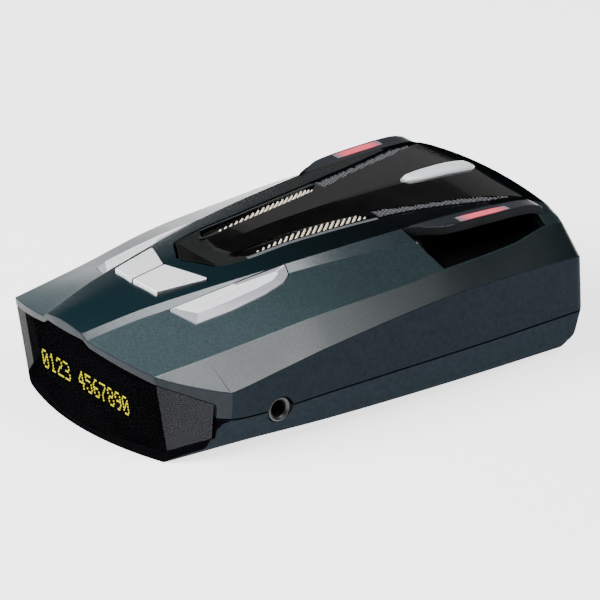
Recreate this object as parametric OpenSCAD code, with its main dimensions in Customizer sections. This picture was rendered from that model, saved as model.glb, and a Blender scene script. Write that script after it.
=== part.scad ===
// Dashboard radar detector: two shells, wrapped display window, four keys, horn antenna and boards.
// X is across the body, +Y runs towards the road end, +Z is up. The origin is at the middle of the base.

/* [Body] */
// Length from the display end to the road end
body_l = 108.6; // [103:0.1:114]
// Largest width across the sides
body_w = 67; // [64:0.5:70]
// Height of the hood's centre ridge above the base
body_h = 33.3; // [32:0.1:35]
// Wall thickness of the two case shells
wall = 1.8; // [1.5:0.1:2.1]
// Width of the dark groove where the shells meet
seam = 0.3; // [0.2:0.05:0.4]
// Radius that rounds the road end
end_round = 3; // [2:0.1:4]
// How far the road end's middle bows out past its corners
end_bow = 2; // [0:0.1:3]

/* [Display] */
// Backward lean of the display face, in degrees
face_lean = 9.4; // [6:0.1:12]
// How far the middle of the window bulges ahead of its corners
face_bulge = 4.2; // [2:0.1:6]
// Half width of the curved front of the window
face_half = 24; // [22:0.5:26]
// Thickness of the window
window_t = 1.6; // [1.2:0.1:2]
// Clearance round the window
window_gap = 0.15; // [0.1:0.05:0.3]
// Width of the dot-matrix panel
panel_w = 34; // [32:0.5:34.5]
// Height of the dot-matrix panel
panel_h = 12; // [10:0.5:13]

/* [Keys] */
// Travel of each key
key_travel = 0.55; // [0.4:0.05:0.6]
// Clearance round each key
key_gap = 0.3; // [0.2:0.05:0.4]
// Height of a key above the surface round it
key_rise = 0.9; // [0.6:0.1:1.2]
// Radius of each switch's stem
stem_r = 1.7; // [1.5:0.1:2]
// Width of each square switch body
switch_w = 6; // [5:0.5:6.5]

/* [Insert] */
// Thickness of the gloss insert in the hood
insert_t = 0.7; // [0.5:0.1:0.8]
// Depth of the insert's edge below the hood
insert_sink = 0.5; // [0.3:0.1:0.6]
// Width of the ledge that the insert rests on
ledge = 1.2; // [0.8:0.1:1.6]

/* [Power inlet] */
// Distance of the inlet from the middle of the body, towards the display
jack_back = 24.4; // [23:0.1:26]
// Height of the inlet's centre line
jack_z = 8.75; // [8.6:0.05:9]
// Radius of the inlet's bore, for a plug of 3.5 mm
jack_bore_r = 1.8; // [1.78:0.01:1.85]
// Depth of the inlet's bore
jack_bore_l = 11; // [9:0.5:12]

/* [Bracket slot] */
// Width of the windscreen bracket's slot
slot_w = 24; // [20:0.5:26]
// Height of the slot
slot_h = 4.3; // [4.2:0.1:4.4]
// Depth of the slot
slot_d = 9; // [8:0.5:10]

/* [Boards and antenna] */
// Thickness of the circuit boards
board_t = 1.6; // [1.2:0.1:1.6]
// Half width of the main and control boards
board_half = 18.5; // [17:0.5:18.8]
// Underside height of the main board
main_z = 4.2; // [3.8:0.1:4.4]
// Underside height of the control board
control_z = 12.9; // [12.5:0.1:13]
// Width of the horn's mouth
horn_w = 31; // [28:0.5:32]
// Height of the horn's mouth
horn_h = 15; // [12:0.5:15.5]
// Radius of the case screws
screw_r = 1.1; // [1:0.05:1.2]

/* [Hidden] */
$fn = 48;

// Scale factors from the nominal sizes that the curves below are drawn at
kx = body_w / 67;
ky = body_l / 108.6;
kz = body_h / 33.3;

// Long curves of the outer skin, each as [station, x, z] from the display end to the road end
ridge = [[-56, 0, 23.9], [-50, 0, 25.7], [-38, 0, 28], [-29.6, 0, 29.6], [-21, 0, 30.9], [-8, 0, 32.1],
    [10, 0, 33], [30, 0, 33.3], [41, 0, 33.1], [47.4, 0, 32.3], [51, 0, 31.2], [54.3, 0, 29.4]];
hood_edge = [[-56, 5.6, 23], [-50, 6.8, 24.5], [-40, 8.8, 26.6], [-12, 14, 30], [16, 17.2, 32],
    [30, 18, 32.2], [43, 19, 31.8], [48, 19.3, 31], [54.3, 19.4, 28.6]];
hood_foot = [[-56, 6.9, 21.7], [-50, 8.2, 23.3], [-40, 10.3, 25.4], [-12, 15.6, 28.6], [17, 20.6, 30.3],
    [35, 22.2, 30.4], [47, 22.5, 29.9], [54.3, 22.4, 27.6]];
cheek_top = [[-56, 23.4, 18.9], [-49.4, 24, 19.5], [-32, 25.6, 21.5], [-13, 27.5, 24.1],
    [10, 28.4, 25.6], [19, 28.4, 26.2], [37, 27.4, 26.7], [47, 25.6, 27.7], [54.3, 24.4, 26.6]];
cheek_foot = [[-56, 27.5, 11.8], [-36.6, 31.3, 14.9], [-23, 32, 17.4], [-12.7, 32.3, 19.2],
    [14.2, 32.6, 22.3], [35, 32.2, 22.7], [54, 31, 21.8]];
parting = [[-56, 27.6, 10.3], [-39, 29.8, 9.6], [-34.5, 31.2, 9.1], [-24.4, 32.3, 9.2],
    [-13, 33, 9.8], [10, 33.5, 10.3], [30, 33.2, 10.4], [54, 31.8, 10.2]];
side_foot = [[-56, 25.6, 3.2], [-39, 28, 3], [-10, 30.7, 3], [30, 30.9, 3.4], [54, 29.6, 3.8]];
base_edge = [[-56, 22.2, 0], [-46, 23, 0], [-26, 24, 0], [-7.5, 25.5, 0], [22, 26.2, 0], [54, 25.9, 0]];

// Outer edge and height of the visor that overhangs each scoop, from its tip to the road end
visor_edge = [[16.2, 17.4, 32.2], [20, 19.4, 32.2], [24, 21.5, 32.1], [34, 22.5, 32.2], [44, 22.9, 32],
    [47.8, 22.9, 31]];
visor_t = 1.9;
scoop_start = 18;
scoop_end = 46.6;
scoop_in = 16.4;
scoop_low = 24.4;
// Lamp strip let into each visor: its first station and length, and how far it keeps from the hood's
// edge and from the visor's own edge
lamp_start = 28;
lamp_l = 12;
lamp_in = 1.5;
lamp_out = 0.5;

// Half width of the gloss insert
insert_half = [[-25.9, 0.9, 0], [-21.6, 7.4, 0], [-3.5, 9.4, 0], [15, 11.6, 0], [27, 13.9, 0],
    [38, 17, 0], [47, 18.2, 0]];
// Inner edge of the sunk slotted zone beside the insert's centre panel
pocket_in = [[-17.5, 5.6, 0], [-15, 4.9, 0], [-5, 5.3, 0], [5, 6.6, 0], [14.4, 8, 0]];
pocket_rim = 1.9;
pocket_depth = 0.75;
pocket_skirt = 0.6;
// Upward laser eye at the nose of the teardrop
eye_y = 29.9;
eye_r = 0.6;
// Slots between the louvres
louvre_count = 20;
louvre_first = -13;
louvre_pitch = 1.3;
louvre_w = 0.55;
// Inner and outer edge of the fine mesh
mesh_in = [[14.7, 7.3, 0], [23, 10, 0], [36.5, 13.6, 0], [46, 17.2, 0]];
mesh_out = [[14.7, 11.1, 0], [27, 13.5, 0], [38, 16.5, 0], [46, 17.6, 0]];

// Display: distance of the panel's face from the body's front, height of its middle, and its pins
panel_back = 6.4;
display_z = 10.2;
panel_t = 2.2;
bezel_rim = 2;
pin_count = 11;
pin_pitch = 3;
pin_l = 0.5;

// Stations of the body's sections
body_stations = [for (s = [-57:4:47]) s];
insert_stations = [-25.7, -23.6, -21.6, -18, -12, -6, 0, 6, 12, 18, 24, 30, 36, 42, 47];

// Key outlines, [x, y], clockwise seen from above
wing_outline = [[0.2, -37.4], [0.2, -29.7], [9.7, -25.6], [7.1, -36.5]];
strip_outline = [[11.2, -36.4], [13, -22], [14.4, -10.6], [16, -10.9], [17.3, -13], [18, -18],
    [17.9, -26], [17, -33.9]];
wing_seat = 25;
strip_seat = 21.2;
flange_t = 1;
board_top = control_z + board_t;
switch_h = 3.5;
stem_top = board_top + switch_h + 0.8;
wing_button = [4.2, -33];
strip_button = [14.4, -27];
front_screw = [21.4, -14];
rear_screw = [22.6, 42];
screw_spots = [for (p = [front_screw, rear_screw], side = [-1, 1]) [side * p[0], p[1]]];
post_r = 2.2;
// Underside of the bracket slot
slot_low = 4.7;
rear_post_top = 20;
boss_r = 2.7;
boss_top = 8.8;
// Depth of the outer screw holes' counterbore and its radius
bore_depth = 2.2;
bore_r = 1.9;
// Road window in the rear wall: its width, lowest point and height
filter_w = 22;
filter_low = 20.6;
filter_h = 5.2;
// Recess of the blank label: left, front, width and length, and the label's own thickness
label_box = [-16, -20, 32, 24];
label_t = 0.25;
// Speaker: station, underside of its frame, and radii of frame, magnet and cone
speaker_y = -8.2;
speaker_low = 24.2;
speaker_r = 9.6;
magnet_r = 5;
cone_r = 8.4;
// Horn: height of its underside, and the stations of its throat and mouth
horn_low = 11.6;
horn_back = 9;
horn_mouth = 43.4;
horn_wall = 1.2;
// Metal can over the receiver: left, front, width, length and height
shield_box = [-15, 2, 30, 32, 4.6];
shield_t = 0.4;
// Chips as left, front, width, length and height, on the main board and on the control board
main_chips = [[-6, -38, 12, 12, 1.6], [-15, -20, 8, 6, 1.4], [5, -14, 5, 4, 1.4]];
control_chips = [[-5, -20, 10, 7, 1.5]];
cap_spots = [[-14, -6], [-7, -6], [14, -12]];
cap_r = 2.4;
cap_h = 5.6;
// Pin header that joins the boards: left, front, width and length
link_box = [-10, -24, 14, 2.4];
// Feet that carry the main board
foot_spots = [for (x = [-13, 13], y = [-36, 36]) [x, y]];
shell_color = [0.16, 0.21, 0.23];
silver = [0.78, 0.79, 0.8];
gloss = [0.03, 0.03, 0.035];
board_green = [0.1, 0.3, 0.16];

// Smooth value of column c of a curve table t at station s
function seat(t, s, i = 0) = (i >= len(t) - 2 || s < t[i + 1][0]) ? i : seat(t, s, i + 1);
function grade(t, c, i) =
    let (a = max(i - 1, 0), b = min(i + 1, len(t) - 1))
    (t[b][c] - t[a][c]) / (t[b][0] - t[a][0]);
function along(t, c, s) =
    let (
        i = seat(t, s),
        h = t[i + 1][0] - t[i][0],
        u = (s - t[i][0]) / h,
        a = grade(t, c, i) * h,
        b = grade(t, c, i + 1) * h
    )
    (2 * u ^ 3 - 3 * u ^ 2 + 1) * t[i][c] + (u ^ 3 - 2 * u ^ 2 + u) * a
        + (3 * u ^ 2 - 2 * u ^ 3) * t[i + 1][c] + (u ^ 3 - u ^ 2) * b;
function spot(t, s) = [along(t, 1, s), along(t, 2, s)];

// Height of the crowned hood at x
function hood_z(x, s) =
    let (e = spot(hood_edge, s), c = along(ridge, 2, s))
    e[1] + (c - e[1]) * (1 - (x / e[0]) ^ 2);

// Closed section of the body at a station, clockwise seen from the display end
function half_section(s) =
    let (e = spot(hood_edge, s))
    [for (f = [0.35, 0.7]) [f * e[0], hood_z(f * e[0], s)],
        e, spot(hood_foot, s), spot(cheek_top, s), spot(cheek_foot, s), spot(parting, s),
        spot(side_foot, s), spot(base_edge, s)];
function section(s) =
    let (h = half_section(s), n = len(h))
    concat([[0, along(ridge, 2, s)]], h, [for (i = [n - 1:-1:0]) [-h[i][0], h[i][1]]]);

// A closed outline moved inwards by d, with mitred corners
function edge_normal(a, b) = let (v = b - a) [v[1], -v[0]] / norm(v);
function inset(p, d) =
    let (n = len(p))
    [for (i = [0:n - 1])
        let (
            m = edge_normal(p[(i + n - 1) % n], p[i]),
            k = edge_normal(p[i], p[(i + 1) % n])
        )
        p[i] + (m + k) * d / (1 + m * k)];

// Station rows near the road end, as [station, inset], for a body set in by d
function end_rows(d) =
    let (last = body_l / 2 / ky - d / ky)
    [for (a = [0:22.5:90]) [last - end_round * (1 - sin(a)), d + end_round * (1 - cos(a))]];
function bowed(x, s) = s * ky - end_bow * (x / 33) ^ 2 * max(0, s / 54) ^ 3;

// Solid body skin set in by d all over except at the display end
module body_solid(d) {
    rows = concat([for (s = body_stations) [s, d]], end_rows(d));
    n = len(section(0));
    rings = [for (r = rows)
        [for (q = inset(section(r[0]), r[1])) [q[0] * kx, bowed(q[0], r[0]), q[1] * kz]]];
    last = len(rows) - 1;
    ends = [[0, rings[0][0][1], 12], [0, rings[last][0][1], 12]];
    sides = [for (i = [0:last - 1]) for (j = [0:n - 1])
        let (k = (j + 1) % n, a = i * n + j, b = i * n + k, c = a + n, e = b + n)
        each [[a, c, e], [a, e, b]]];
    caps = [for (j = [0:n - 1])
        let (k = (j + 1) % n)
        each [[(last + 1) * n, j, k], [(last + 1) * n + 1, last * n + k, last * n + j]]];
    polyhedron(concat([for (r = rings) each r], ends), concat(sides, caps), convexity = 6);
}

// Straight run across a slab, from lo(s) to hi(s)
function span(lo, hi) = function (s, f) lo(s) + (hi(s) - lo(s)) * f;

// Slab over a grid of stations S: x is across(s, f) for f from 0 to 1, z from low(x, s) to top(x, s)
module slab(S, n, across, low, top) {
    m = n + 1;
    rows = len(S);
    function grid(z) = [for (s = S) for (j = [0:n])
        let (x = across(s, j / n))
        [x * kx, s * ky, z(x, s) * kz]];
    under = rows * m;
    skin = [for (i = [0:rows - 2]) for (j = [0:n - 1])
        let (a = i * m + j, b = a + 1, c = a + m, e = c + 1)
        each [[a, c, b], [b, c, e], [under + a, under + b, under + c], [under + b, under + e, under + c]]];
    sides = [for (i = [0:rows - 2])
        let (a = i * m, b = a + m, c = a + n, e = c + m)
        each [[a, under + a, b], [b, under + a, under + b], [c, e, under + c], [e, under + e, under + c]]];
    last = (rows - 1) * m;
    tips = [for (j = [0:n - 1])
        each [[j, j + 1, under + j], [j + 1, under + j + 1, under + j],
            [last + j, under + last + j, last + j + 1],
            [last + j + 1, under + last + j, under + last + j + 1]]];
    polyhedron(concat(grid(top), grid(low)), concat(skin, sides, tips), convexity = 6);
}

// Everything behind the leaning display face, moved back by d
module behind_face(d) {
    arc = [for (i = [-8:8]) let (x = face_half * i / 8) [x * kx, face_bulge * (x / face_half) ^ 2]];
    wing = [34 * kx, face_bulge + 17];
    translate([0, -body_l / 2 + 0.6 + d, 21])
        rotate([face_lean, 0, 0])
            translate([0, 0, -60])
                linear_extrude(120)
                    polygon(concat([[-wing[0], 140], [-wing[0], wing[1]]], arc, [wing, [wing[0], 140]]));
}

// Outline of the window in front view, grown by g
module window_outline(g) {
    half = [[6, 22], [7.6, 20.8], [23.9, 17.6], [29.4, 12.7], [29.9, 9.8], [29.4, 5.6], [22.8, 2.3],
        [9.5, 1.9], [7, 1.2]];
    n = len(half);
    offset(delta = g)
        polygon(concat(half, [for (i = [n - 1:-1:0]) [-half[i][0], half[i][1]]]));
}

module window_prism(g, depth) {
    translate([0, -body_l / 2 - 8, 0])
        rotate([90, 0, 0])
            mirror([0, 0, 1])
                linear_extrude(8 + depth)
                    window_outline(g);
}

// Hollow case before it is split at the parting line
module case_shell() {
    intersection() {
        body_solid(0);
        behind_face(0);
    }
}

module case_hollow() {
    intersection() {
        body_solid(wall);
        behind_face(wall);
    }
}

// Everything below the parting line, moved by g
module below_parting(g) {
    slab([for (s = [-60.5:4:59.5]) s], 1, span(function (s) -45, function (s) 45),
        function (x, s) -8, function (x, s) along(parting, 2, max(-56, min(54, s))) + g);
}

// Outline of a wing key or a strip key, with its corners mitred out by g
module key_plan(points, g) {
    offset(delta = g)
        polygon([for (p = points) [p[0] * kx, p[1] * ky]]);
}

module key_well(points, side, z) {
    mirror([side < 0 ? 1 : 0, 0, 0])
        translate([0, 0, z])
            linear_extrude(20)
                key_plan(points, key_gap);
}

// Floor of a scoop, falling inwards from the cheek's upper edge
function scoop_floor(x, s) =
    let (e = spot(cheek_top, s))
    scoop_low + (e[1] - 0.5 - scoop_low) * max(0, (x - scoop_in) / (e[0] - scoop_in));
scoop_stations = [for (i = [0:10]) scoop_start + (scoop_end - scoop_start) * i / 10];
function visor_x(s) = along(visor_edge, 1, max(16.2, min(47.8, s)));
function visor_z(s) = along(visor_edge, 2, max(16.2, min(47.8, s)));

// Space of one scoop under its visor, from the floor up
module scoop_cut(g) {
    slab(scoop_stations, 4, span(function (s) scoop_in - g, function (s) along(cheek_top, 1, s) - 0.35 + g),
        function (x, s) scoop_floor(x, s) - 1 - g, function (x, s) 40);
}

// Height of a visor's top, which slopes out from the hood's edge
function visor_top(x, s) =
    let (e = spot(hood_edge, s))
    e[1] + (visor_z(s) - e[1]) * (x - e[0]) / max(0.3, visor_x(s) - e[0]);

// Visor slab that overhangs one scoop
module visor() {
    S = [16.2, 18.2, 20, 22, 24, 28, 32, 36, 40, 44, 46.4, 47.8];
    slab(S, 4, function (s, f) let (e = along(hood_edge, 1, s), v = max(visor_x(s), e + 0.2))
            f <= 0.5 ? scoop_in - 1.6 + (e - scoop_in + 1.6) * f * 2 : e + (v - e) * (f * 2 - 1),
        function (x, s) visor_z(s) - visor_t,
        function (x, s) let (e = spot(hood_edge, s))
            (x <= e[0] ? hood_z(x, s) - (x < scoop_in ? 0.3 : 0.06) : visor_top(x, s))
                - (s < 17 || s > 47.5 ? 0.5 : 0));
}

module insert_slab(g, low, top) {
    slab(insert_stations, 8,
        span(function (s) -along(insert_half, 1, s) - g, function (s) along(insert_half, 1, s) + g),
        low, top);
}

function insert_top(x, s) =
    hood_z(x, s) - insert_sink * min(1, (x / max(1, along(insert_half, 1, s))) ^ 2) - 0.05;

module both_sides() {
    children();
    mirror([1, 0, 0]) children();
}

module screw_posts(r, low, high) {
    for (p = screw_spots)
        translate([p[0], p[1], low])
            cylinder(h = high - low, r = r, $fn = 24);
}

// Screw posts of the upper case; the rear pair is webbed to the side walls
module case_posts() {
    both_sides() {
        translate([front_screw[0], front_screw[1], 9.4]) cylinder(h = 30, r = post_r, $fn = 24);
        translate([rear_screw[0], rear_screw[1], 9.4]) {
            cylinder(h = rear_post_top - 9.4, r = post_r, $fn = 24);
            translate([0, -0.8, 0]) cube([12, 1.6, rear_post_top - 9.4]);
        }
    }
}

module upper_case() {
    color(shell_color)
        resize([0, 0, 0])
            difference() {
                union() {
                    difference() {
                        case_shell();
                        difference() {
                            case_hollow();
                            case_posts();
                        }
                        both_sides() scoop_cut(0);
                    }
                    intersection() {
                        both_sides() visor();
                        case_shell_grown();
                    }
                }
                below_parting(seam / 2);
                window_prism(window_gap, 16.2);
                key_well(wing_outline, 1, wing_seat - 3);
                key_well(wing_outline, -1, wing_seat - 3);
                key_well(strip_outline, 1, strip_seat - 3);
                key_well(strip_outline, -1, strip_seat - 3);
                insert_slab(0.1, function (x, s) insert_top(x, s) - insert_t - 0.02, function (x, s) 40);
                insert_slab(-ledge, function (x, s) 20, function (x, s) 40);
                screw_posts(screw_r + 0.15, 0, 18);
                jack_hole();
                road_window_hole(0.1);
                both_sides() lamp_slab(0.06);
            }
}

// The body grown enough to hold the visors
module case_shell_grown() {
    intersection() {
        translate([-45, -70, 0]) cube([90, 140, 40]);
        behind_face(0);
    }
}

module lower_case() {
    color(shell_color)
        resize([0, 0, 0])
            difference() {
                intersection() {
                    union() {
                        difference() {
                            case_shell();
                            case_hollow();
                        }
                        intersection() {
                            case_shell();
                            union() {
                                screw_posts(boss_r, 0, boss_top);
                                for (p = foot_spots)
                                    translate([p[0], p[1], 0]) cylinder(h = main_z, r = 2, $fn = 20);
                            }
                        }
                    }
                    below_parting(-seam / 2);
                }
                window_prism(window_gap, 16.2);
                screw_posts(screw_r + 0.15, -1, 12);
                screw_posts(bore_r, -1, bore_depth);
                jack_hole();
                translate([-slot_w / 2 - 1.1, body_l / 2 - slot_d - 1.6, slot_low - 0.85])
                    cube([slot_w + 2.2, 20, slot_h + 1.7]);
                translate([label_box[0] - 0.1, label_box[1] - 0.1, -1])
                    cube([label_box[2] + 0.2, label_box[3] + 0.2, label_t + 1.07]);
            }
}

module jack_hole() {
    translate([20, -jack_back, jack_z])
        rotate([0, 90, 0])
            cylinder(h = 20, r = 2.85, $fn = 40);
}

// Smoked window that wraps round both front corners
module display_window() {
    color([0.02, 0.02, 0.025])
        resize([0, 0, 0])
            difference() {
                intersection() {
                    body_solid(0.02);
                    behind_face(0.05);
                    window_prism(0, 15.6);
                }
                behind_face(0.05 + window_t);
            }
}

// Places its children in the plane of the leaning display, d behind the panel's face
module at_display(d) {
    translate([0, -body_l / 2 + panel_back + d, display_z])
        rotate([face_lean, 0, 0])
            children();
}

// Black mask that frames the panel behind the window
module display_bezel() {
    color([0.05, 0.05, 0.05])
        at_display(0.8)
            difference() {
                translate([-panel_w / 2 - bezel_rim, 0, -7.4]) cube([panel_w + 2 * bezel_rim, 1.2, 15.4]);
                translate([-panel_w / 2 - 0.15, -1, -panel_h / 2 - 0.15])
                    cube([panel_w + 0.3, 4, panel_h + 0.3]);
            }
}

// Dot-matrix panel with a row of pins into its board
module display_panel() {
    color([0.16, 0.15, 0.05])
        at_display(0) {
            translate([-panel_w / 2, 0, -panel_h / 2]) cube([panel_w, panel_t, panel_h]);
            for (i = [0:pin_count - 1])
                translate([pin_pitch * (i - (pin_count - 1) / 2) - 0.6, panel_t, -panel_h / 2 + 0.6])
                    cube([1.2, pin_l, 1.6]);
        }
}

module display_board() {
    color(board_green)
        at_display(panel_t + pin_l + 0.1)
            difference() {
                translate([-board_half, 0, -3.8]) cube([2 * board_half, board_t, 11.8]);
                for (x = [-16.4, 16.4])
                    translate([x, -1, 5.4]) rotate([-90, 0, 0]) cylinder(h = 5, r = 1);
            }
}

// Gloss insert with a centre ridge; its slots and lens seat are cut through
module top_insert() {
    color(gloss)
        resize([0, 0, 0])
            difference() {
                union() {
                    insert_slab(0, function (x, s) insert_top(x, s) - insert_t,
                        function (x, s) insert_top(x, s));
                    both_sides() pocket_slab(pocket_skirt, -pocket_depth, -0.1);
                }
                both_sides() {
                    pocket_slab(0, -3, 3);
                    mesh_slab(0.1, -2, 3);
                }
                translate([0, eye_y * ky, 20]) cylinder(h = 20, r = eye_r + 0.15);
            }
}

// Sunk zone of the insert, grown by g; low and top are heights from the insert's surface
module pocket_slab(g, low, top) {
    slab(concat([-17.5 - g], [for (s = [-15:5:10]) s], [14.4 + g]), 2,
        span(function (s) along(pocket_in, 1, max(-17.5, min(14.4, s))) - g,
            function (s) along(insert_half, 1, s) - pocket_rim + g),
        function (x, s) insert_top(x, s) + low, function (x, s) insert_top(x, s) + top);
}

// Slotted floor of the sunk zone; slots lean the same way on both sides
module slot_grille(side) {
    color(gloss)
        resize([0, 0, 0])
            difference() {
                mirror([side < 0 ? 1 : 0, 0, 0])
                    pocket_slab(pocket_skirt, -pocket_depth - 0.6, -pocket_depth);
                for (i = [0:louvre_count - 1])
                    let (
                        s = louvre_first + i * louvre_pitch,
                        reach = 1 + 2.2 * min(1, i / 9),
                        middle = (along(pocket_in, 1, s) + along(insert_half, 1, s) - pocket_rim) / 2
                    )
                    translate([side * middle, s * ky, 20])
                        rotate([0, 0, 45])
                            translate([-louvre_w / 2, -reach / 2, 0])
                                cube([louvre_w, reach, 20]);
            }
}
module slot_grille_right() { slot_grille(1); }
module slot_grille_left() { slot_grille(-1); }

module mesh_slab(g, low, top) {
    slab([for (s = [15.6:3.03:45.9]) s], 2,
        span(function (s) along(mesh_in, 1, s) - g, function (s) along(mesh_out, 1, s) + g),
        function (x, s) insert_top(x, s) + low, function (x, s) insert_top(x, s) + top);
}

module mesh_grille_right() {
    color([0.35, 0.36, 0.37])
        mesh_slab(0, -0.68, -0.2);
}

module mesh_grille_left() {
    mirror([1, 0, 0]) mesh_grille_right();
}

// Silver teardrop over the upward laser eye
module laser_eye_cap() {
    half = [[29.5, 0.5, 0], [31, 1.25, 0], [34, 1.9, 0], [40, 2.25, 0], [46, 2.1, 0], [47.4, 1.1, 0]];
    rise = [[29.5, 0.5, 0], [31, 0.75, 0], [40, 0.7, 0], [47.4, 0.3, 0]];
    color(silver)
        difference() {
            slab([29.5, 30.2, 31, 32.5, 34, 37, 40, 43, 46, 46.9, 47.4], 4,
                span(function (s) -along(half, 1, s), function (s) along(half, 1, s)),
                function (x, s) insert_top(x, s) + 0.02,
                function (x, s) insert_top(x, s) + 0.05
                    + along(rise, 1, s) * (1 - 0.5 * (x / along(half, 1, s)) ^ 2));
            translate([0, eye_y * ky, 32 * kz]) cylinder(h = 1.65, r = eye_r + 0.15);
        }
}

module laser_eye_lens() {
    color([0.8, 0.85, 0.8])
        translate([0, eye_y * ky, 32.25 * kz]) {
            cylinder(h = 1.3, r = eye_r);
            translate([0, 0, -1.4]) cylinder(h = 1.4, r = eye_r + 0.65);
        }
}

// Key: cap through the case, flange below it, and a plunger down to the switch
module key_cap(points, seat_z, button, rise) {
    difference() {
        translate([0, 0, seat_z])
            linear_extrude(12)
                key_plan(points, 0);
        key_skin(points, rise);
    }
    translate([0, 0, seat_z - flange_t])
        linear_extrude(flange_t)
            intersection() {
                key_plan(points, 0.9);
                translate([points == wing_outline ? 0.2 : 0, -60]) square([40, 100]);
            }
    translate([button[0], button[1], stem_top])
        cylinder(h = seat_z - stem_top, r = 2.2);
}

// Space above a key's top surface
module key_skin(points, rise) {
    if (points == wing_outline)
        slab([for (s = [-42:4:-18]) s], 2, span(function (s) -1, function (s) 14),
            function (x, s) hood_z(x, s) + rise * (1 - 0.055 * max(0, min(10, x))), function (x, s) 60);
    else
        slab([for (s = [-42:4:-4]) s], 2, span(function (s) 8, function (s) 22),
            function (x, s) deck_z(x, s) + rise * (1 - 0.55 * max(0, min(1, (s + 34) / 24))),
            function (x, s) 60);
}

function deck_z(x, s) =
    let (a = spot(hood_foot, s), b = spot(cheek_top, s))
    a[1] + (b[1] - a[1]) * max(0, x - a[0]) / (b[0] - a[0]);

module imute_key() {
    color(silver) key_cap(wing_outline, wing_seat, wing_button, key_rise);
}

module mute_key() {
    mirror([1, 0, 0]) imute_key();
}

module city_key() {
    color(silver) key_cap(strip_outline, strip_seat, strip_button, key_rise + 0.5);
}

module dim_key() {
    mirror([1, 0, 0]) city_key();
}

module stem(x, y) {
    color([0.1, 0.1, 0.1])
        translate([x, y, board_top + 2.2])
            cylinder(h = stem_top - board_top - 2.2, r = stem_r);
}

module imute_stem() { stem(wing_button[0], wing_button[1]); }
module mute_stem() { stem(-wing_button[0], wing_button[1]); }
module city_stem() { stem(strip_button[0], strip_button[1]); }
module dim_stem() { stem(-strip_button[0], strip_button[1]); }

module switch_bodies() {
    color([0.2, 0.2, 0.2])
        for (p = [wing_button, strip_button], side = [-1, 1])
            translate([side * p[0], p[1], board_top])
                difference() {
                    translate([-switch_w / 2, -switch_w / 2, 0]) cube([switch_w, switch_w, switch_h]);
                    translate([0, 0, 1.4]) cylinder(h = 5, r = stem_r + 0.1);
                }
}

// Gloss liner of a scoop: floor, inner wall and front wall
module side_scoop_right() {
    color(gloss)
        resize([0, 0, 0])
            difference() {
                scoop_cut(-0.05);
                slab(concat([scoop_start + 0.9], [for (i = [1:9]) scoop_stations[i]], [scoop_end - 0.9]), 4,
                    span(function (s) scoop_in + 0.9, function (s) along(cheek_top, 1, s) + 4),
                    function (x, s) scoop_floor(x, s), function (x, s) 60);
                slab([for (s = [10:4:54]) s], 2, span(function (s) 8, function (s) 34),
                    function (x, s) x < 24 ? visor_z(s) - visor_t - 0.1 : cheek_cap(s),
                    function (x, s) 70);
            }
}
function cheek_cap(s) = along(cheek_top, 2, max(-56, min(54, s))) + 0.1;

module side_scoop_left() {
    mirror([1, 0, 0]) side_scoop_right();
}

// Translucent strip let into the top of a visor
module lamp_slab(g) {
    slab([lamp_start - g, for (i = [1:3]) lamp_start + i * lamp_l / 4, lamp_start + lamp_l + g], 1,
        span(function (s) along(hood_edge, 1, s) + lamp_in - g, function (s) visor_x(s) - lamp_out + g),
        function (x, s) visor_z(s) - 1.1 - g, function (x, s) visor_top(x, s) + (g > 0 ? 3 : 0.02));
}

module alert_lamp_right() {
    color([0.95, 0.45, 0.5]) lamp_slab(0);
}

module alert_lamp_left() {
    mirror([1, 0, 0]) alert_lamp_right();
}

// Power inlet: barrel in the side wall and a square housing on the main board
module power_jack() {
    color([0.04, 0.04, 0.045])
        translate([0, -jack_back, jack_z])
            difference() {
                union() {
                    translate([19.4, -4, -2.9]) cube([8.4, 8, 5.8]);
                    translate([27, 0, 0]) rotate([0, 90, 0]) cylinder(h = 4.6, r = 2.6);
                }
                translate([31.6 - jack_bore_l, 0, 0]) rotate([0, 90, 0]) cylinder(h = 20, r = jack_bore_r);
                translate([31.1, 0, 0]) rotate([0, 90, 0]) cylinder(h = 5, r1 = jack_bore_r, r2 = 2.3);
                translate([21.4, -0.6, 1]) cube([4, 1.2, 2.4]);
            }
}

// Spring contact above the bore and the tip contact at its end
module jack_contacts() {
    color([0.85, 0.72, 0.4])
        translate([0, -jack_back, jack_z]) {
            translate([21.5, -0.5, 1.95]) cube([3.8, 1, 0.35]);
            translate([18.9, -1.5, -2.9]) cube([0.4, 3, 5]);
        }
}

module road_window_hole(g) {
    translate([-filter_w / 2 - g, 40, filter_low - g])
        cube([filter_w + 2 * g, 20, filter_h + 2 * g]);
}

// Dark filter over the laser sensor at the road end
module road_window() {
    color([0.12, 0.01, 0.02])
        resize([0, 0, 0])
            intersection() {
                difference() {
                    body_solid(0.15);
                    body_solid(wall);
                }
                road_window_hole(0);
            }
}

module laser_sensor() {
    color([0.1, 0.1, 0.12]) {
        translate([-3, 44.4, 20.8]) cube([6, 5, 4.8]);
        translate([0, 49.4, 23.2]) rotate([-90, 0, 0]) cylinder(h = 1.3, r = 1.9);
    }
}

// Socket that takes the tongue of the windscreen bracket
module bracket_socket() {
    color([0.07, 0.07, 0.075])
        translate([0, body_l / 2 - slot_d - 1.4, slot_low])
            difference() {
                translate([-slot_w / 2 - 1, 0, -0.75]) cube([slot_w + 2, slot_d + 1, slot_h + 1.5]);
                translate([-slot_w / 2, 1, 0]) cube([slot_w, slot_d + 4, slot_h]);
            }
}

module control_board() {
    color(board_green)
        difference() {
            translate([-board_half, -38, control_z]) cube([2 * board_half, 35.5, board_t]);
            screw_posts(post_r + 0.5, 0, 30);
        }
}

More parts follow.
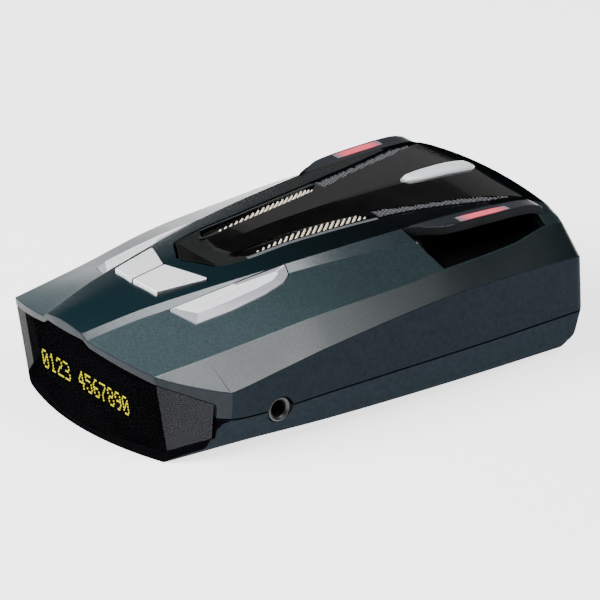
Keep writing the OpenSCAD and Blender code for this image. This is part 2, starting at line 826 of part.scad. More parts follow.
module main_board() {
    color(board_green)
        difference() {
            translate([-board_half, -39.5, main_z]) cube([2 * board_half, 80.5, board_t]);
            for (p = foot_spots)
                translate([p[0], p[1], main_z - 1]) cylinder(h = 4, r = 0.9);
            screw_posts(boss_r + 0.5, 0, 30);
        }
}

// Die-cast horn: pyramid mouth at the road end, waveguide block behind it
module horn_antenna() {
    function ring(w, h, y) =
        let (low = horn_low + (horn_h - h) / 2, high = horn_low + (horn_h + h) / 2)
        [[-w / 2, y, low], [w / 2, y, low], [w / 2, y, high], [-w / 2, y, high]];
    color([0.62, 0.63, 0.65])
        difference() {
            frustum(ring(16, 10, horn_back), ring(horn_w, horn_h, horn_mouth));
            frustum(ring(11, 6, horn_back + 3),
                ring(horn_w - 2 * horn_wall, horn_h - 2 * horn_wall, horn_mouth + 0.5));
        }
}

module frustum(a, b) {
    faces = [[3, 2, 1, 0], [5, 6, 7, 4], [1, 5, 4, 0], [2, 6, 5, 1], [3, 7, 6, 2], [0, 4, 7, 3]];
    polyhedron(concat(a, b), faces);
}

module rf_shield() {
    color([0.7, 0.71, 0.72])
        translate([shield_box[0], shield_box[1], main_z + board_t])
            difference() {
                cube([shield_box[2], shield_box[3], shield_box[4]]);
                translate([shield_t, shield_t, -1])
                    cube([shield_box[2] - 2 * shield_t, shield_box[3] - 2 * shield_t,
                        shield_box[4] + 1 - shield_t]);
            }
}

module speaker_frame() {
    color([0.12, 0.12, 0.12])
        translate([0, speaker_y, speaker_low])
            difference() {
                cylinder(h = 3.4, r = speaker_r);
                translate([0, 0, 1]) cylinder(h = 4, r = speaker_r - 1);
                translate([0, 0, -1]) cylinder(h = 4, r = magnet_r + 0.2);
            }
}

module speaker_cone() {
    color([0.3, 0.3, 0.3])
        translate([0, speaker_y, speaker_low + 1.05])
            rotate_extrude()
                polygon([[0, 0.6], [3, 0], [cone_r, 1.7], [cone_r, 2], [3, 0.4], [0, 1]]);
}

module speaker_magnet() {
    color([0.4, 0.4, 0.42])
        translate([0, speaker_y, speaker_low - 2.8]) {
            cylinder(h = 3.2, r = magnet_r);
            translate([0, 0, -0.4]) cylinder(h = 0.4, r = magnet_r - 0.8);
        }
}

// Chips from a table, standing on a board whose top is at z
module chips(table, z) {
    for (c = table)
        translate([c[0], c[1], z]) cube([c[2], c[3], c[4]]);
}

module ic_chips() {
    color([0.06, 0.06, 0.06]) {
        chips(main_chips, main_z + board_t);
        chips(control_chips, board_top);
    }
}

module capacitors() {
    color([0.2, 0.2, 0.3])
        for (p = cap_spots)
            translate([p[0], p[1], main_z + board_t])
                cylinder(h = cap_h, r = cap_r);
}

module board_link() {
    color([0.15, 0.15, 0.15])
        translate([link_box[0], link_box[1], main_z + board_t])
            cube([link_box[2], link_box[3], control_z - main_z - board_t]);
}

module case_screws() {
    color([0.35, 0.35, 0.36])
        for (p = screw_spots)
            translate([p[0], p[1], 0.4])
                difference() {
                    union() {
                        cylinder(h = 1.7, r = 1.7);
                        cylinder(h = 15, r = screw_r);
                    }
                    for (a = [0, 90])
                        rotate([0, 0, a]) translate([-1, -0.25, -1]) cube([2, 0.5, 1.9]);
                }
}

module rating_label() {
    color([0.75, 0.75, 0.72])
        translate([label_box[0], label_box[1], 0.05]) cube([label_box[2], label_box[3], label_t]);
}

upper_case();
lower_case();
display_window();
display_bezel();
display_panel();
display_board();
top_insert();
slot_grille_left();
slot_grille_right();
mesh_grille_left();
mesh_grille_right();
laser_eye_cap();
laser_eye_lens();
dim_key();
mute_key();
imute_key();
city_key();
dim_stem();
mute_stem();
imute_stem();
city_stem();
switch_bodies();
side_scoop_left();
side_scoop_right();
alert_lamp_left();
alert_lamp_right();
power_jack();
jack_contacts();
road_window();
laser_sensor();
bracket_socket();
control_board();
main_board();
horn_antenna();
rf_shield();
speaker_frame();
speaker_cone();
speaker_magnet();
ic_chips();
capacitors();
board_link();
case_screws();
rating_label();
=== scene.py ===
"""Looks of the dashboard radar detector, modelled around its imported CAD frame.

Shapes are worked out in millimetres in the frame's own axes (X across, +Y to the road end, +Z up)
and scaled to metres when a piece is settled on its body.
"""

import math

import bmesh
import bpy
from mathutils import Matrix, Vector


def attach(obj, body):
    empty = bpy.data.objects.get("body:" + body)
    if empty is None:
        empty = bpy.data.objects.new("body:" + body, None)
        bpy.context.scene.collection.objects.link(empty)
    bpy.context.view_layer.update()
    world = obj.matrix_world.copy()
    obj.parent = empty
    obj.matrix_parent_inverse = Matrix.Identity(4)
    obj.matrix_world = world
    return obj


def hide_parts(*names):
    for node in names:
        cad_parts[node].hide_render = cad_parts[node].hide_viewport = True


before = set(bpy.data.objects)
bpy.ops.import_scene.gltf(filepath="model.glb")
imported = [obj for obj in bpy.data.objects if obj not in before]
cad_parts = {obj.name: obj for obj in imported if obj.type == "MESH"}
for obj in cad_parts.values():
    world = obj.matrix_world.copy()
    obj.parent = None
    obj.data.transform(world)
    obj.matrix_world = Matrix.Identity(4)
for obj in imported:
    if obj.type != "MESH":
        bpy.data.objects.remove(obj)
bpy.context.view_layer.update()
MM = 0.001

# Driving dimensions, as in the design
BODY_L = 108.6
WALL = 1.8
SEAM = 0.3
END_ROUND = 3
END_BOW = 2
FACE_LEAN = math.radians(9.4)
FACE_BULGE = 4.2
FACE_HALF = 24
FACE_BACK = 0.6
WINDOW_T = 1.6
WINDOW_GAP = 0.15
WINDOW_REACH = 15.6
WINDOW_ROOM = 16.2
KEY_SHOWN_GAP = 0.16
KEY_RISE = 0.9
INSERT_T = 0.7
INSERT_SINK = 0.5
INSERT_CHAMFER = 0.75
INSERT_NOSE, INSERT_CORNER, INSERT_END = -25.9, -21.6, 47
RIDGE_SINK, SHOULDER_SINK = 0.05, 0.12
LEDGE = 1.2
JACK_BACK = 24.4
JACK_Z = 8.75
JACK_BORE = 1.8

# First and last station of the curves; those of the side end a little earlier
CURVE_START, CURVE_END, SIDE_END = -56, 54.3, 54
# Long curves of the outer skin, each as (station, x, z) from the display end to the road end
RIDGE = [(-56, 0, 23.9), (-50, 0, 25.7), (-38, 0, 28), (-29.6, 0, 29.6), (-21, 0, 30.9), (-8, 0, 32.1),
         (10, 0, 33), (30, 0, 33.3), (41, 0, 33.1), (47.4, 0, 32.3), (51, 0, 31.2), (54.3, 0, 29.4)]
HOOD_EDGE = [(-56, 5.6, 23), (-50, 6.8, 24.5), (-40, 8.8, 26.6), (-12, 14, 30), (16, 17.2, 32),
             (30, 18, 32.2), (43, 19, 31.8), (48, 19.3, 31), (54.3, 19.4, 28.6)]
HOOD_FOOT = [(-56, 6.9, 21.7), (-50, 8.2, 23.3), (-40, 10.3, 25.4), (-12, 15.6, 28.6), (17, 20.6, 30.3),
             (35, 22.2, 30.4), (47, 22.5, 29.9), (54.3, 22.4, 27.6)]
CHEEK_TOP = [(-56, 23.4, 18.9), (-49.4, 24, 19.5), (-32, 25.6, 21.5), (-13, 27.5, 24.1), (10, 28.4, 25.6),
             (19, 28.4, 26.2), (37, 27.4, 26.7), (47, 25.6, 27.7), (54.3, 24.4, 26.6)]
CHEEK_FOOT = [(-56, 27.5, 11.8), (-36.6, 31.3, 14.9), (-23, 32, 17.4), (-12.7, 32.3, 19.2),
              (14.2, 32.6, 22.3), (35, 32.2, 22.7), (54, 31, 21.8)]
PARTING = [(-56, 27.6, 10.3), (-39, 29.8, 9.6), (-34.5, 31.2, 9.1), (-24.4, 32.3, 9.2), (-13, 33, 9.8),
           (10, 33.5, 10.3), (30, 33.2, 10.4), (54, 31.8, 10.2)]
SIDE_FOOT = [(-56, 25.6, 3.2), (-39, 28, 3), (-10, 30.7, 3), (30, 30.9, 3.4), (54, 29.6, 3.8)]
BASE_EDGE = [(-56, 22.2, 0), (-46, 23, 0), (-26, 24, 0), (-7.5, 25.5, 0), (22, 26.2, 0), (54, 25.9, 0)]
# Each crease of the section with the radius that rounds it
CREASES = [(HOOD_EDGE, 0.45), (HOOD_FOOT, 0.5), (CHEEK_TOP, 0.55), (CHEEK_FOOT, 0.4), (PARTING, 1.2),
           (SIDE_FOOT, 1.6), (BASE_EDGE, 0.9)]

VISOR_EDGE = [(16.2, 17.4, 32.2), (20, 19.4, 32.2), (24, 21.5, 32.1), (34, 22.5, 32.2), (44, 22.9, 32),
              (47.8, 22.9, 31)]
VISOR_START, VISOR_END = 16.2, 47.8
VISOR_T = 1.9
SCOOP_START, SCOOP_END = 18, 46.6
SCOOP_IN, SCOOP_LOW = 16.4, 24.4
# Lamp strip in each visor: first and last station, distance from the hood's and the visor's edge, depth
LAMP_START, LAMP_END = 28, 40
LAMP_IN, LAMP_OUT = 1.5, 0.5
LAMP_T = 1.1

INSERT_HALF = [(-25.9, 0.9), (-21.6, 7.4), (-3.5, 9.4), (15, 11.6), (27, 13.9), (38, 17), (47, 18.2)]
WINDOW_HALF = [(6, 22), (7.6, 20.8), (23.9, 17.6), (29.4, 12.7), (29.9, 9.8), (29.4, 5.6), (22.8, 2.3),
               (9.5, 1.9), (7, 1.2)]
WING = [(0.2, -37.4), (0.2, -29.7), (9.7, -25.6), (7.1, -36.5)]
WING_RISE = (0.8, 0.6, 0.35, 0.8)
WING_WELL_Z, WING_FLANGE_Z, WING_BUTTON = 22, 25, (4.2, -33)
STRIP = [(11.2, -36.4), (13, -22), (14.4, -10.6), (16, -10.9), (17.3, -13), (18, -18), (17.9, -26),
         (17, -33.9)]
STRIP_WELL_Z, STRIP_FLANGE_Z, STRIP_BUTTON = 18.2, 21.2, (14.4, -27)
FLANGE_GROW, FLANGE_T, STEM_R, STEM_TOP = 0.9, 1, 2.2, 18.8


# ---- curves and sections

def along(table, column, s):
    """Smooth value of a column of a curve table at station s."""
    last = len(table) - 1
    i = next((k for k in range(last - 1) if s < table[k + 1][0]), last - 1)

    def grade(k):
        a, b = table[max(k - 1, 0)], table[min(k + 1, last)]
        return (b[column] - a[column]) / (b[0] - a[0])

    h = table[i + 1][0] - table[i][0]
    u = (s - table[i][0]) / h
    return ((2 * u**3 - 3 * u**2 + 1) * table[i][column] + (u**3 - 2 * u**2 + u) * grade(i) * h
            + (3 * u**2 - 2 * u**3) * table[i + 1][column] + (u**3 - u**2) * grade(i + 1) * h)


def spot(table, s):
    return along(table, 1, s), along(table, 2, s)


def frange(low, high, step):
    """Values from low to high, both included, about a step apart."""
    count = max(1, round((high - low) / step))
    return [low + (high - low) * i / count for i in range(count + 1)]


def clamp(value, low, high):
    return max(low, min(high, value))


def hood_z(x, s):
    """Height of the crowned hood."""
    ex, ez = spot(HOOD_EDGE, s)
    return ez + (along(RIDGE, 2, s) - ez) * (1 - (x / ex) ** 2)


def deck_z(x, s):
    """Height of the deck beside the hood."""
    (ax, az), (bx, bz) = spot(HOOD_FOOT, s), spot(CHEEK_TOP, s)
    return az + (bz - az) * max(0, x - ax) / (bx - ax)


def arc_corner(a, p, b, radius, steps):
    """Points that round the corner p between a and b."""
    u, w = (a - p), (b - p)
    reach = 0.42 * min(u.length, w.length)
    u.normalize()
    w.normalize()
    half = math.acos(clamp(u.dot(w), -1, 1)) / 2
    t = min(radius / max(math.tan(half), 1e-6), reach)
    if math.pi / 2 - half < 1e-3:
        return [p + u * t * (1 - 2 * k / steps) if k * 2 < steps else p + w * t * (2 * k / steps - 1)
                for k in range(steps + 1)]
    r = t * math.tan(half)
    centre = p + (u + w).normalized() * (r / math.sin(half))
    start, end = p + u * t - centre, p + w * t - centre
    sweep = math.pi - 2 * half
    return [centre + (start * math.sin((1 - k / steps) * sweep) + end * math.sin(k / steps * sweep))
            / math.sin(sweep) for k in range(steps + 1)]


def rounded(points, radii, steps):
    """A closed outline with each corner rounded by its own radius; radius 0 keeps the point."""
    pts = [Vector(p) for p in points]
    n = len(pts)
    out = []
    for i, p in enumerate(pts):
        if radii[i] <= 0:
            out.append(p)
        else:
            out += arc_corner(pts[i - 1], p, pts[(i + 1) % n], radii[i], steps)
    return out


def grown(points, g):
    """A closed outline moved outwards by g with mitred corners, whichever way it runs."""
    pts = [Vector(p) for p in points]
    n = len(pts)
    area = sum(pts[i - 1].x * pts[i].y - pts[i].x * pts[i - 1].y for i in range(n))
    side = 1 if area > 0 else -1
    out = []
    for i, p in enumerate(pts):
        u, w = (p - pts[i - 1]).normalized(), (pts[(i + 1) % n] - p).normalized()
        m, k = Vector((u.y, -u.x)) * side, Vector((w.y, -w.x)) * side
        out.append(p + (m + k) * g / max(0.2, 1 + m.dot(k)))
    return out


def mirrored(half):
    """A closed outline from its right half, given from top to bottom."""
    return list(half) + [(-x, z) for x, z in reversed(half)]


CROWN_STEPS = 8
CREASE_STEPS = 4


def section_ring(s, d):
    """Closed section of the body at a station, set in by d, with rounded creases."""
    ex = along(HOOD_EDGE, 1, s)
    half = [((k / CROWN_STEPS) * ex, hood_z((k / CROWN_STEPS) * ex, s)) for k in range(1, CROWN_STEPS)]
    radii = [0] * len(half)
    for table, radius in CREASES:
        half.append(spot(table, s))
        radii.append(radius)
    points = [(0, along(RIDGE, 2, s))] + mirrored(half)
    radii = [0] + radii + radii[::-1]
    if d:
        points = grown(points, -d)
    return rounded(points, radii, CREASE_STEPS)


def bowed(x, s):
    """Where station s lies at x: towards the road end, the sides fall back behind the middle."""
    return s - END_BOW * (x / 33) ** 2 * max(0, s / 54) ** 3


# ---- solids

def make(name, points, faces):
    """A mesh object from points in millimetres, with its faces turned outwards."""
    mesh = bpy.data.meshes.new(name)
    mesh.from_pydata([tuple(p) for p in points], [], faces)
    bm = bmesh.new()
    bm.from_mesh(mesh)
    bmesh.ops.recalc_face_normals(bm, faces=bm.faces)
    bm.to_mesh(mesh)
    bm.free()
    piece = bpy.data.objects.new(name, mesh)
    bpy.context.scene.collection.objects.link(piece)
    return piece


def loft(name, rings):
    """A closed solid through rings of equal length, capped at both ends."""
    n = len(rings[0])
    faces = [(i * n + j, i * n + (j + 1) % n, (i + 1) * n + (j + 1) % n, (i + 1) * n + j)
             for i in range(len(rings) - 1) for j in range(n)]
    faces += [tuple(range(n)), tuple((len(rings) - 1) * n + j for j in range(n))]
    return make(name, [p for r in rings for p in r], faces)


def slab(name, stations, n, across, low, top, shift=None):
    """A solid over a grid of stations: x is across(s, f), z runs from low(x, s) to top(x, s).
    shift(x, s), if given, is where station s lies along the body at x."""
    m, rows = n + 1, len(stations)
    spots = [(across(s, j / n), s) for s in stations for j in range(m)]
    lie = shift or (lambda x, s: s)
    points = [(x, lie(x, s), top(x, s)) for x, s in spots] + [(x, lie(x, s), low(x, s)) for x, s in spots]
    under = rows * m
    faces = []
    for i in range(rows - 1):
        for j in range(n):
            a, c = i * m + j, (i + 1) * m + j
            faces += [(a, a + 1, c + 1, c), (under + a, under + c, under + c + 1, under + a + 1)]
        a, b = i * m, (i + 1) * m
        faces += [(a, b, under + b, under + a), (a + n, under + a + n, under + b + n, b + n)]
    end = (rows - 1) * m
    for j in range(n):
        faces += [(j, under + j, under + j + 1, j + 1),
                  (end + j, end + j + 1, under + end + j + 1, under + end + j)]
    return make(name, points, faces)


def prism(name, outline, low, high, place=None):
    """An outline in its own x and y extruded from low to high along z, then placed."""
    place = place or Matrix.Identity(4)
    rings = [[place @ Vector((p[0], p[1], z)) for p in outline] for z in (low, high)]
    return loft(name, rings)


def round_outline(radius, sides=40):
    return [(radius * math.cos(2 * math.pi * k / sides), radius * math.sin(2 * math.pi * k / sides))
            for k in range(sides)]


ALONG_Y = Matrix(((1, 0, 0, 0), (0, 0, 1, 0), (0, 1, 0, 0), (0, 0, 0, 1)))
ALONG_X = Matrix(((0, 0, 1, 0), (1, 0, 0, 0), (0, 1, 0, 0), (0, 0, 0, 1)))


def box_faces(k):
    """Faces of a box whose corners, a ring of four and then the opposite four, start at point k."""
    sides = [(k + j, k + 4 + j, k + 4 + (j + 1) % 4, k + (j + 1) % 4) for j in range(4)]
    return [(k, k + 1, k + 2, k + 3), (k + 7, k + 6, k + 5, k + 4), *sides]


def block(name, low, high):
    (x0, y0, z0), (x1, y1, z1) = low, high
    return prism(name, [(x0, y0), (x1, y0), (x1, y1), (x0, y1)], z0, z1)


def bake(piece):
    """Applies every modifier of a piece to its mesh."""
    shown = piece.evaluated_get(bpy.context.evaluated_depsgraph_get())
    mesh = bpy.data.meshes.new_from_object(shown)
    piece.modifiers.clear()
    old, piece.data = piece.data, mesh
    bpy.data.meshes.remove(old)
    return piece


def discard(piece):
    """Removes a piece and its mesh."""
    mesh = piece.data
    bpy.data.objects.remove(piece)
    bpy.data.meshes.remove(mesh)


def carve(piece, operation, *others):
    """Unites a piece with others, cuts them out of it or keeps what they share."""
    for other in others:
        step = piece.modifiers.new("carve", "BOOLEAN")
        step.operation, step.solver, step.object = operation, "MANIFOLD", other
        bake(piece)
        discard(other)
    return piece


def cut(piece, *others):
    return carve(piece, "DIFFERENCE", *others)


def keep(piece, *others):
    return carve(piece, "INTERSECT", *others)


def join(piece, *others):
    return carve(piece, "UNION", *others)


def flipped(piece):
    """The mirror image of a piece across the middle plane."""
    twin = bpy.data.objects.new(piece.name, piece.data.copy())
    bpy.context.scene.collection.objects.link(twin)
    twin.data.transform(Matrix.Scale(-1, 4, (1, 0, 0)))
    twin.data.flip_normals()
    return twin


def flipped_alone(piece):
    """A piece's mirror image in its place."""
    twin = flipped(piece)
    discard(piece)
    return twin


def both(builder):
    """A right-hand solid and its mirror image."""
    right = builder()
    return right, flipped(right)


def soften(piece, width, above=30, segments=2, spare=None):
    """Rounds every edge that is sharper than an angle, except where spare(middle of the edge) holds."""
    bm = bmesh.new()
    bm.from_mesh(piece.data)
    bmesh.ops.remove_doubles(bm, verts=bm.verts, dist=0.012)
    bmesh.ops.dissolve_degenerate(bm, edges=bm.edges, dist=0.008)
    limit = math.radians(above)
    edges = [e for e in bm.edges if e.is_manifold and e.calc_face_angle(0) > limit
             and not (spare and spare((e.verts[0].co + e.verts[1].co) / 2))]
    bmesh.ops.bevel(bm, geom=edges, offset=width, segments=segments, profile=0.5, affect="EDGES",
                    clamp_overlap=False, miter_outer="ARC")
    bm.to_mesh(piece.data)
    bm.free()
    return piece


def shade(piece, crisp):
    """Smooth shading that stays crisp across real corners."""
    mesh = piece.data
    mesh.shade_smooth()
    mesh.set_sharp_from_angle(angle=math.radians(crisp))
    even = piece.modifiers.new("even", "WEIGHTED_NORMAL")
    even.keep_sharp = True
    even.weight = 60
    return piece


def settle(piece, name, body, slot, finish, *nodes, crisp=30):
    """Scales a piece to metres and puts it on its body for the CAD nodes it stands for; slot is not used."""
    piece.name = name
    shade(piece, crisp)
    piece.data.transform(Matrix.Scale(MM, 4))
    if finish:
        piece.data.materials.clear()
        piece.data.materials.append(finish)
    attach(piece, body)
    if nodes:
        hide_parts(*nodes)
    return piece


# ---- materials

def tone(red, green, blue):
    """Linear colour from display values of 0 to 255."""
    return tuple((v / 255 / 12.92) if v <= 10 else ((v / 255 + 0.055) / 1.055) ** 2.4
                 for v in (red, green, blue))


def blank(name, colour, rough, metal=0.0, **sockets):
    """A Principled material with constants set on its own sockets; returns it with its tree and shader."""
    made = bpy.data.materials.new(name)
    made.use_nodes = True
    tree = made.node_tree
    shader = tree.nodes["Principled BSDF"]
    shader.inputs["Base Color"].default_value = (*colour, 1)
    shader.inputs["Roughness"].default_value = rough
    shader.inputs["Metallic"].default_value = metal
    for socket, value in sockets.items():
        shader.inputs[socket.replace("_", " ")].default_value = value
    return made, tree, shader


def place_of(tree):
    found = tree.nodes.get("Texture Coordinate")
    return (found or tree.nodes.new("ShaderNodeTexCoord")).outputs["Object"]


def noise(tree, scale, detail=2.0, rough=0.5):
    node = tree.nodes.new("ShaderNodeTexNoise")
    node.inputs["Scale"].default_value = scale
    node.inputs["Detail"].default_value = detail
    node.inputs["Roughness"].default_value = rough
    tree.links.new(place_of(tree), node.inputs["Vector"])
    return node.outputs["Fac"]


def cells(tree, scale):
    """A random value for each small cell, as metal flakes have."""
    node = tree.nodes.new("ShaderNodeTexVoronoi")
    node.inputs["Scale"].default_value = scale
    tree.links.new(place_of(tree), node.inputs["Vector"])
    split = tree.nodes.new("ShaderNodeSeparateColor")
    tree.links.new(node.outputs["Color"], split.inputs["Color"])
    return split.outputs["Red"]


def ramp(tree, factor, *stops):
    """Colours at places along a factor."""
    node = tree.nodes.new("ShaderNodeValToRGB")
    marks = node.color_ramp.elements
    while len(marks) < len(stops):
        marks.new(0.5)
    for mark, (place, colour) in zip(marks, stops):
        mark.position = place
        mark.color = (*colour, 1)
    tree.links.new(factor, node.inputs["Fac"])
    return node.outputs["Color"]


def remap(tree, value, low, high, to_low, to_high):
    node = tree.nodes.new("ShaderNodeMapRange")
    node.interpolation_type = "SMOOTHSTEP"
    for socket, number in zip(("From Min", "From Max", "To Min", "To Max"), (low, high, to_low, to_high)):
        node.inputs[socket].default_value = number
    tree.links.new(value, node.inputs["Value"])
    return node.outputs["Result"]


def axis_value(tree, axis):
    split = tree.nodes.new("ShaderNodeSeparateXYZ")
    tree.links.new(place_of(tree), split.inputs["Vector"])
    return split.outputs[axis]


def mix(tree, factor, a, b, kind="MIX"):
    node = tree.nodes.new("ShaderNodeMix")
    node.data_type = "RGBA"
    node.blend_type = kind
    if isinstance(factor, (int, float)):
        node.inputs[0].default_value = factor
    else:
        tree.links.new(factor, node.inputs[0])
    for socket, value in ((node.inputs[6], a), (node.inputs[7], b)):
        if isinstance(value, tuple):
            socket.default_value = (*value, 1)
        else:
            tree.links.new(value, socket)
    return node.outputs[2]


def mottle(tree, shader, scale, detail, dark, light, low=0.3, high=0.7):
    """Base colour that wanders between two shades."""
    base = ramp(tree, noise(tree, scale, detail), (low, dark), (high, light))
    tree.links.new(base, shader.inputs["Base Color"])
    return base


def flakes(tree, colour, dark, light, scale=6000, middle=0.6):
    """Colour of metal flakes around one colour."""
    return ramp(tree, cells(tree, scale), (0.0, scaled(colour, dark)), (middle, colour),
                (1.0, scaled(colour, light)))


def uneven(tree, shader, rough, scale, detail, less, more):
    """Roughness that wanders around one value."""
    tree.links.new(remap(tree, noise(tree, scale, detail), 0.3, 0.7, rough - less, rough + more),
                   shader.inputs["Roughness"])


def bump(tree, shader, height, strength, depth):
    node = tree.nodes.new("ShaderNodeBump")
    node.inputs["Strength"].default_value = strength
    node.inputs["Distance"].default_value = depth
    tree.links.new(height, node.inputs["Height"])
    tree.links.new(node.outputs["Normal"], shader.inputs["Normal"])


def scaled(colour, k):
    return tuple(c * k for c in colour)


def paint(name, colour, rough, metal, coat, fleck=0.35, front=None):
    """Metallic paint: flakes of slightly different brightness in it and a fine orange peel on top.
    front, if given, is a lighter colour painted on towards the display end: a painted reflection."""
    made, tree, shader = blank(name, colour, rough, metal, Coat_Weight=coat, Coat_Roughness=0.12)
    base = flakes(tree, colour, 1 - fleck, 1 + 1.6 * fleck, 5200, 0.55)
    # Painted reflection: a lighter copy of the paint blended in towards the display end.
    if front:
        light = flakes(tree, front, 1 - fleck, 1 + fleck, 5200, 0.55)
        towards = remap(tree, axis_value(tree, "Y"), -0.045, 0.02, 1.0, 0.0)
        base = mix(tree, towards, base, light)
    tree.links.new(base, shader.inputs["Base Color"])
    uneven(tree, shader, rough, 60, 3, 0.03, 0.04)
    bump(tree, shader, noise(tree, 3600, 2), 0.12, 0.00002)
    return made


def moulded(name, colour, rough, grain=2600, strength=0.15, **sockets):
    """Moulded plastic with a fine spark-eroded grain."""
    made, tree, shader = blank(name, colour, rough, **sockets)
    mottle(tree, shader, 900, 4, scaled(colour, 0.85), scaled(colour, 1.15))
    uneven(tree, shader, rough, 150, 2, 0.04, 0.05)
    bump(tree, shader, noise(tree, grain, 2), strength, 0.00003)
    return made


def gloss(name, colour, rough=0.07):
    """Polished black plastic with faint wipe marks."""
    made, tree, shader = blank(name, colour, rough, Coat_Weight=0.5, Coat_Roughness=0.03)
    mottle(tree, shader, 220, 3, scaled(colour, 0.8), scaled(colour, 1.3), 0.35, 0.65)
    tree.links.new(remap(tree, noise(tree, 90, 5, 0.7), 0.35, 0.75, rough, rough + 0.06),
                   shader.inputs["Roughness"])
    return made


def metal(name, colour, rough, grain=1800, strength=0.2):
    """Satin metal or metal paint with a very fine grain."""
    made, tree, shader = blank(name, colour, rough, 0.9)
    tree.links.new(flakes(tree, colour, 0.86, 1.08), shader.inputs["Base Color"])
    uneven(tree, shader, rough, 200, 3, 0.04, 0.04)
    bump(tree, shader, noise(tree, grain, 3), strength, 0.00002)
    return made


def satin(name, colour, rough):
    """Bright silver paint: mostly diffuse, with fine flakes."""
    made, tree, shader = blank(name, colour, rough, 0.1, Coat_Weight=0.2, Coat_Roughness=0.15)
    tree.links.new(flakes(tree, colour, 0.9, 1.06), shader.inputs["Base Color"])
    uneven(tree, shader, rough, 200, 3, 0.04, 0.04)
    return made


def smoked(name, colour, shine):
    """Dark smoked acrylic; lit dots show through it."""
    made, tree, shader = blank(name, colour, 0.12, Alpha=0.8, Specular_IOR_Level=shine)
    mottle(tree, shader, 70, 2, scaled(colour, 0.8), scaled(colour, 1.2))
    return made


def matt(name, colour):
    """Dull dark plastic without a grain, for what lies behind the lens."""
    made, tree, shader = blank(name, colour, 0.8, Specular_IOR_Level=0.0)
    mottle(tree, shader, 300, 2, scaled(colour, 0.8), scaled(colour, 1.2))
    return made


def clear(name, colour):
    """Clear moulded lens."""
    made, tree, shader = blank(name, colour, 0.05, IOR=1.49, Transmission_Weight=0.6)
    mottle(tree, shader, 500, 2, scaled(colour, 0.92), colour)
    return made


def glow(name, colour, light, strength):
    """Self-lit dots with a slightly uneven brightness."""
    made, tree, shader = blank(name, colour, 0.4, Emission_Strength=strength)
    base = ramp(tree, cells(tree, 2500), (0.0, scaled(light, 0.8)), (1.0, light))
    tree.links.new(base, shader.inputs["Emission Color"])
    tree.links.new(base, shader.inputs["Base Color"])
    return made


LAMP_MID, LAMP_REACH = (LAMP_START + LAMP_END) / 2, 6.4


def lamp_plastic(name):
    """Translucent red-pink strip, lit from below in its middle and fading to its ends."""
    made, tree, shader = blank(name, (0.6, 0.12, 0.16), 0.25, Emission_Strength=1.0, Coat_Weight=0.4)
    y = axis_value(tree, "Y")
    rise = remap(tree, y, (LAMP_MID - LAMP_REACH) * MM, (LAMP_MID - 0.4 * LAMP_REACH) * MM, 0.0, 1.0)
    fall = remap(tree, y, (LAMP_MID + 0.4 * LAMP_REACH) * MM, (LAMP_MID + LAMP_REACH) * MM, 1.0, 0.0)
    lit = tree.nodes.new("ShaderNodeMath")
    lit.operation = "MULTIPLY"
    tree.links.new(rise, lit.inputs[0])
    tree.links.new(fall, lit.inputs[1])
    body = mix(tree, lit.outputs[0], tone(112, 116, 128), tone(214, 92, 106))
    tree.links.new(body, shader.inputs["Base Color"])
    shine = mix(tree, lit.outputs[0], (0.0, 0.0, 0.0), tone(200, 52, 72))
    patches = ramp(tree, noise(tree, 450, 2), (0.3, (0.6, 0.6, 0.6)), (0.7, (1, 1, 1)))
    tree.links.new(mix(tree, 1.0, shine, patches, "MULTIPLY"), shader.inputs["Emission Color"])
    return made


def solder_mask(name):
    """Green board with paler copper runs under the mask."""
    made, tree, shader = blank(name, tone(24, 84, 46), 0.35)
    brick = tree.nodes.new("ShaderNodeTexBrick")
    brick.inputs["Scale"].default_value = 420
    brick.inputs["Mortar Size"].default_value = 0.012
    brick.inputs["Color1"].default_value = (*tone(22, 80, 44), 1)
    brick.inputs["Color2"].default_value = (*tone(28, 92, 52), 1)
    brick.inputs["Mortar"].default_value = (*tone(58, 128, 72), 1)
    tree.links.new(place_of(tree), brick.inputs["Vector"])
    tree.links.new(brick.outputs["Color"], shader.inputs["Base Color"])
    tree.links.new(remap(tree, noise(tree, 300, 2), 0.3, 0.7, 0.3, 0.42), shader.inputs["Roughness"])
    return made


def paper(name):
    """Blank matt silver-white film."""
    made, tree, shader = blank(name, tone(196, 197, 192), 0.45)
    mottle(tree, shader, 1500, 4, tone(186, 187, 182), tone(204, 205, 200))
    bump(tree, shader, noise(tree, 2500, 3), 0.1, 0.00001)
    return made


def cone_paper(name):
    """Pressed fibre of a speaker's cone."""
    made, tree, shader = blank(name, tone(52, 50, 47), 0.8)
    mottle(tree, shader, 1400, 6, tone(42, 40, 38), tone(66, 63, 58))
    bump(tree, shader, noise(tree, 1800, 5), 0.4, 0.00004)
    return made


def floor_paper(name):
    """White paper on a faintly lit table."""
    made, tree, shader = blank(name, tone(250, 250, 250), 0.65, Emission_Strength=2.2)
    base = mottle(tree, shader, 6, 3, tone(249, 249, 249), tone(252, 252, 252))
    tree.links.new(base, shader.inputs["Emission Color"])
    return made


# ---- case

def body(name, d):
    """The outer skin set in by d, closed at both ends, with the road end rounded and bowed."""
    last = BODY_L / 2 - d
    rows = [(s, d) for s in frange(-57, last - END_ROUND, 1.5)]
    for k in range(1, 7):
        a = math.pi / 12 * k
        rows.append((last - END_ROUND * (1 - math.sin(a)), d + END_ROUND * (1 - math.cos(a))))
    rings = [[(p[0], bowed(p[0], s), p[1]) for p in section_ring(s, g)] for s, g in rows]
    edge = section_ring(*rows[-1])
    for k in (0.8, 0.6, 0.4, 0.2):
        rings.append([(p[0] * k, bowed(p[0] * k, last), 14 + (p[1] - 14) * k) for p in edge])
    return loft(name, rings)


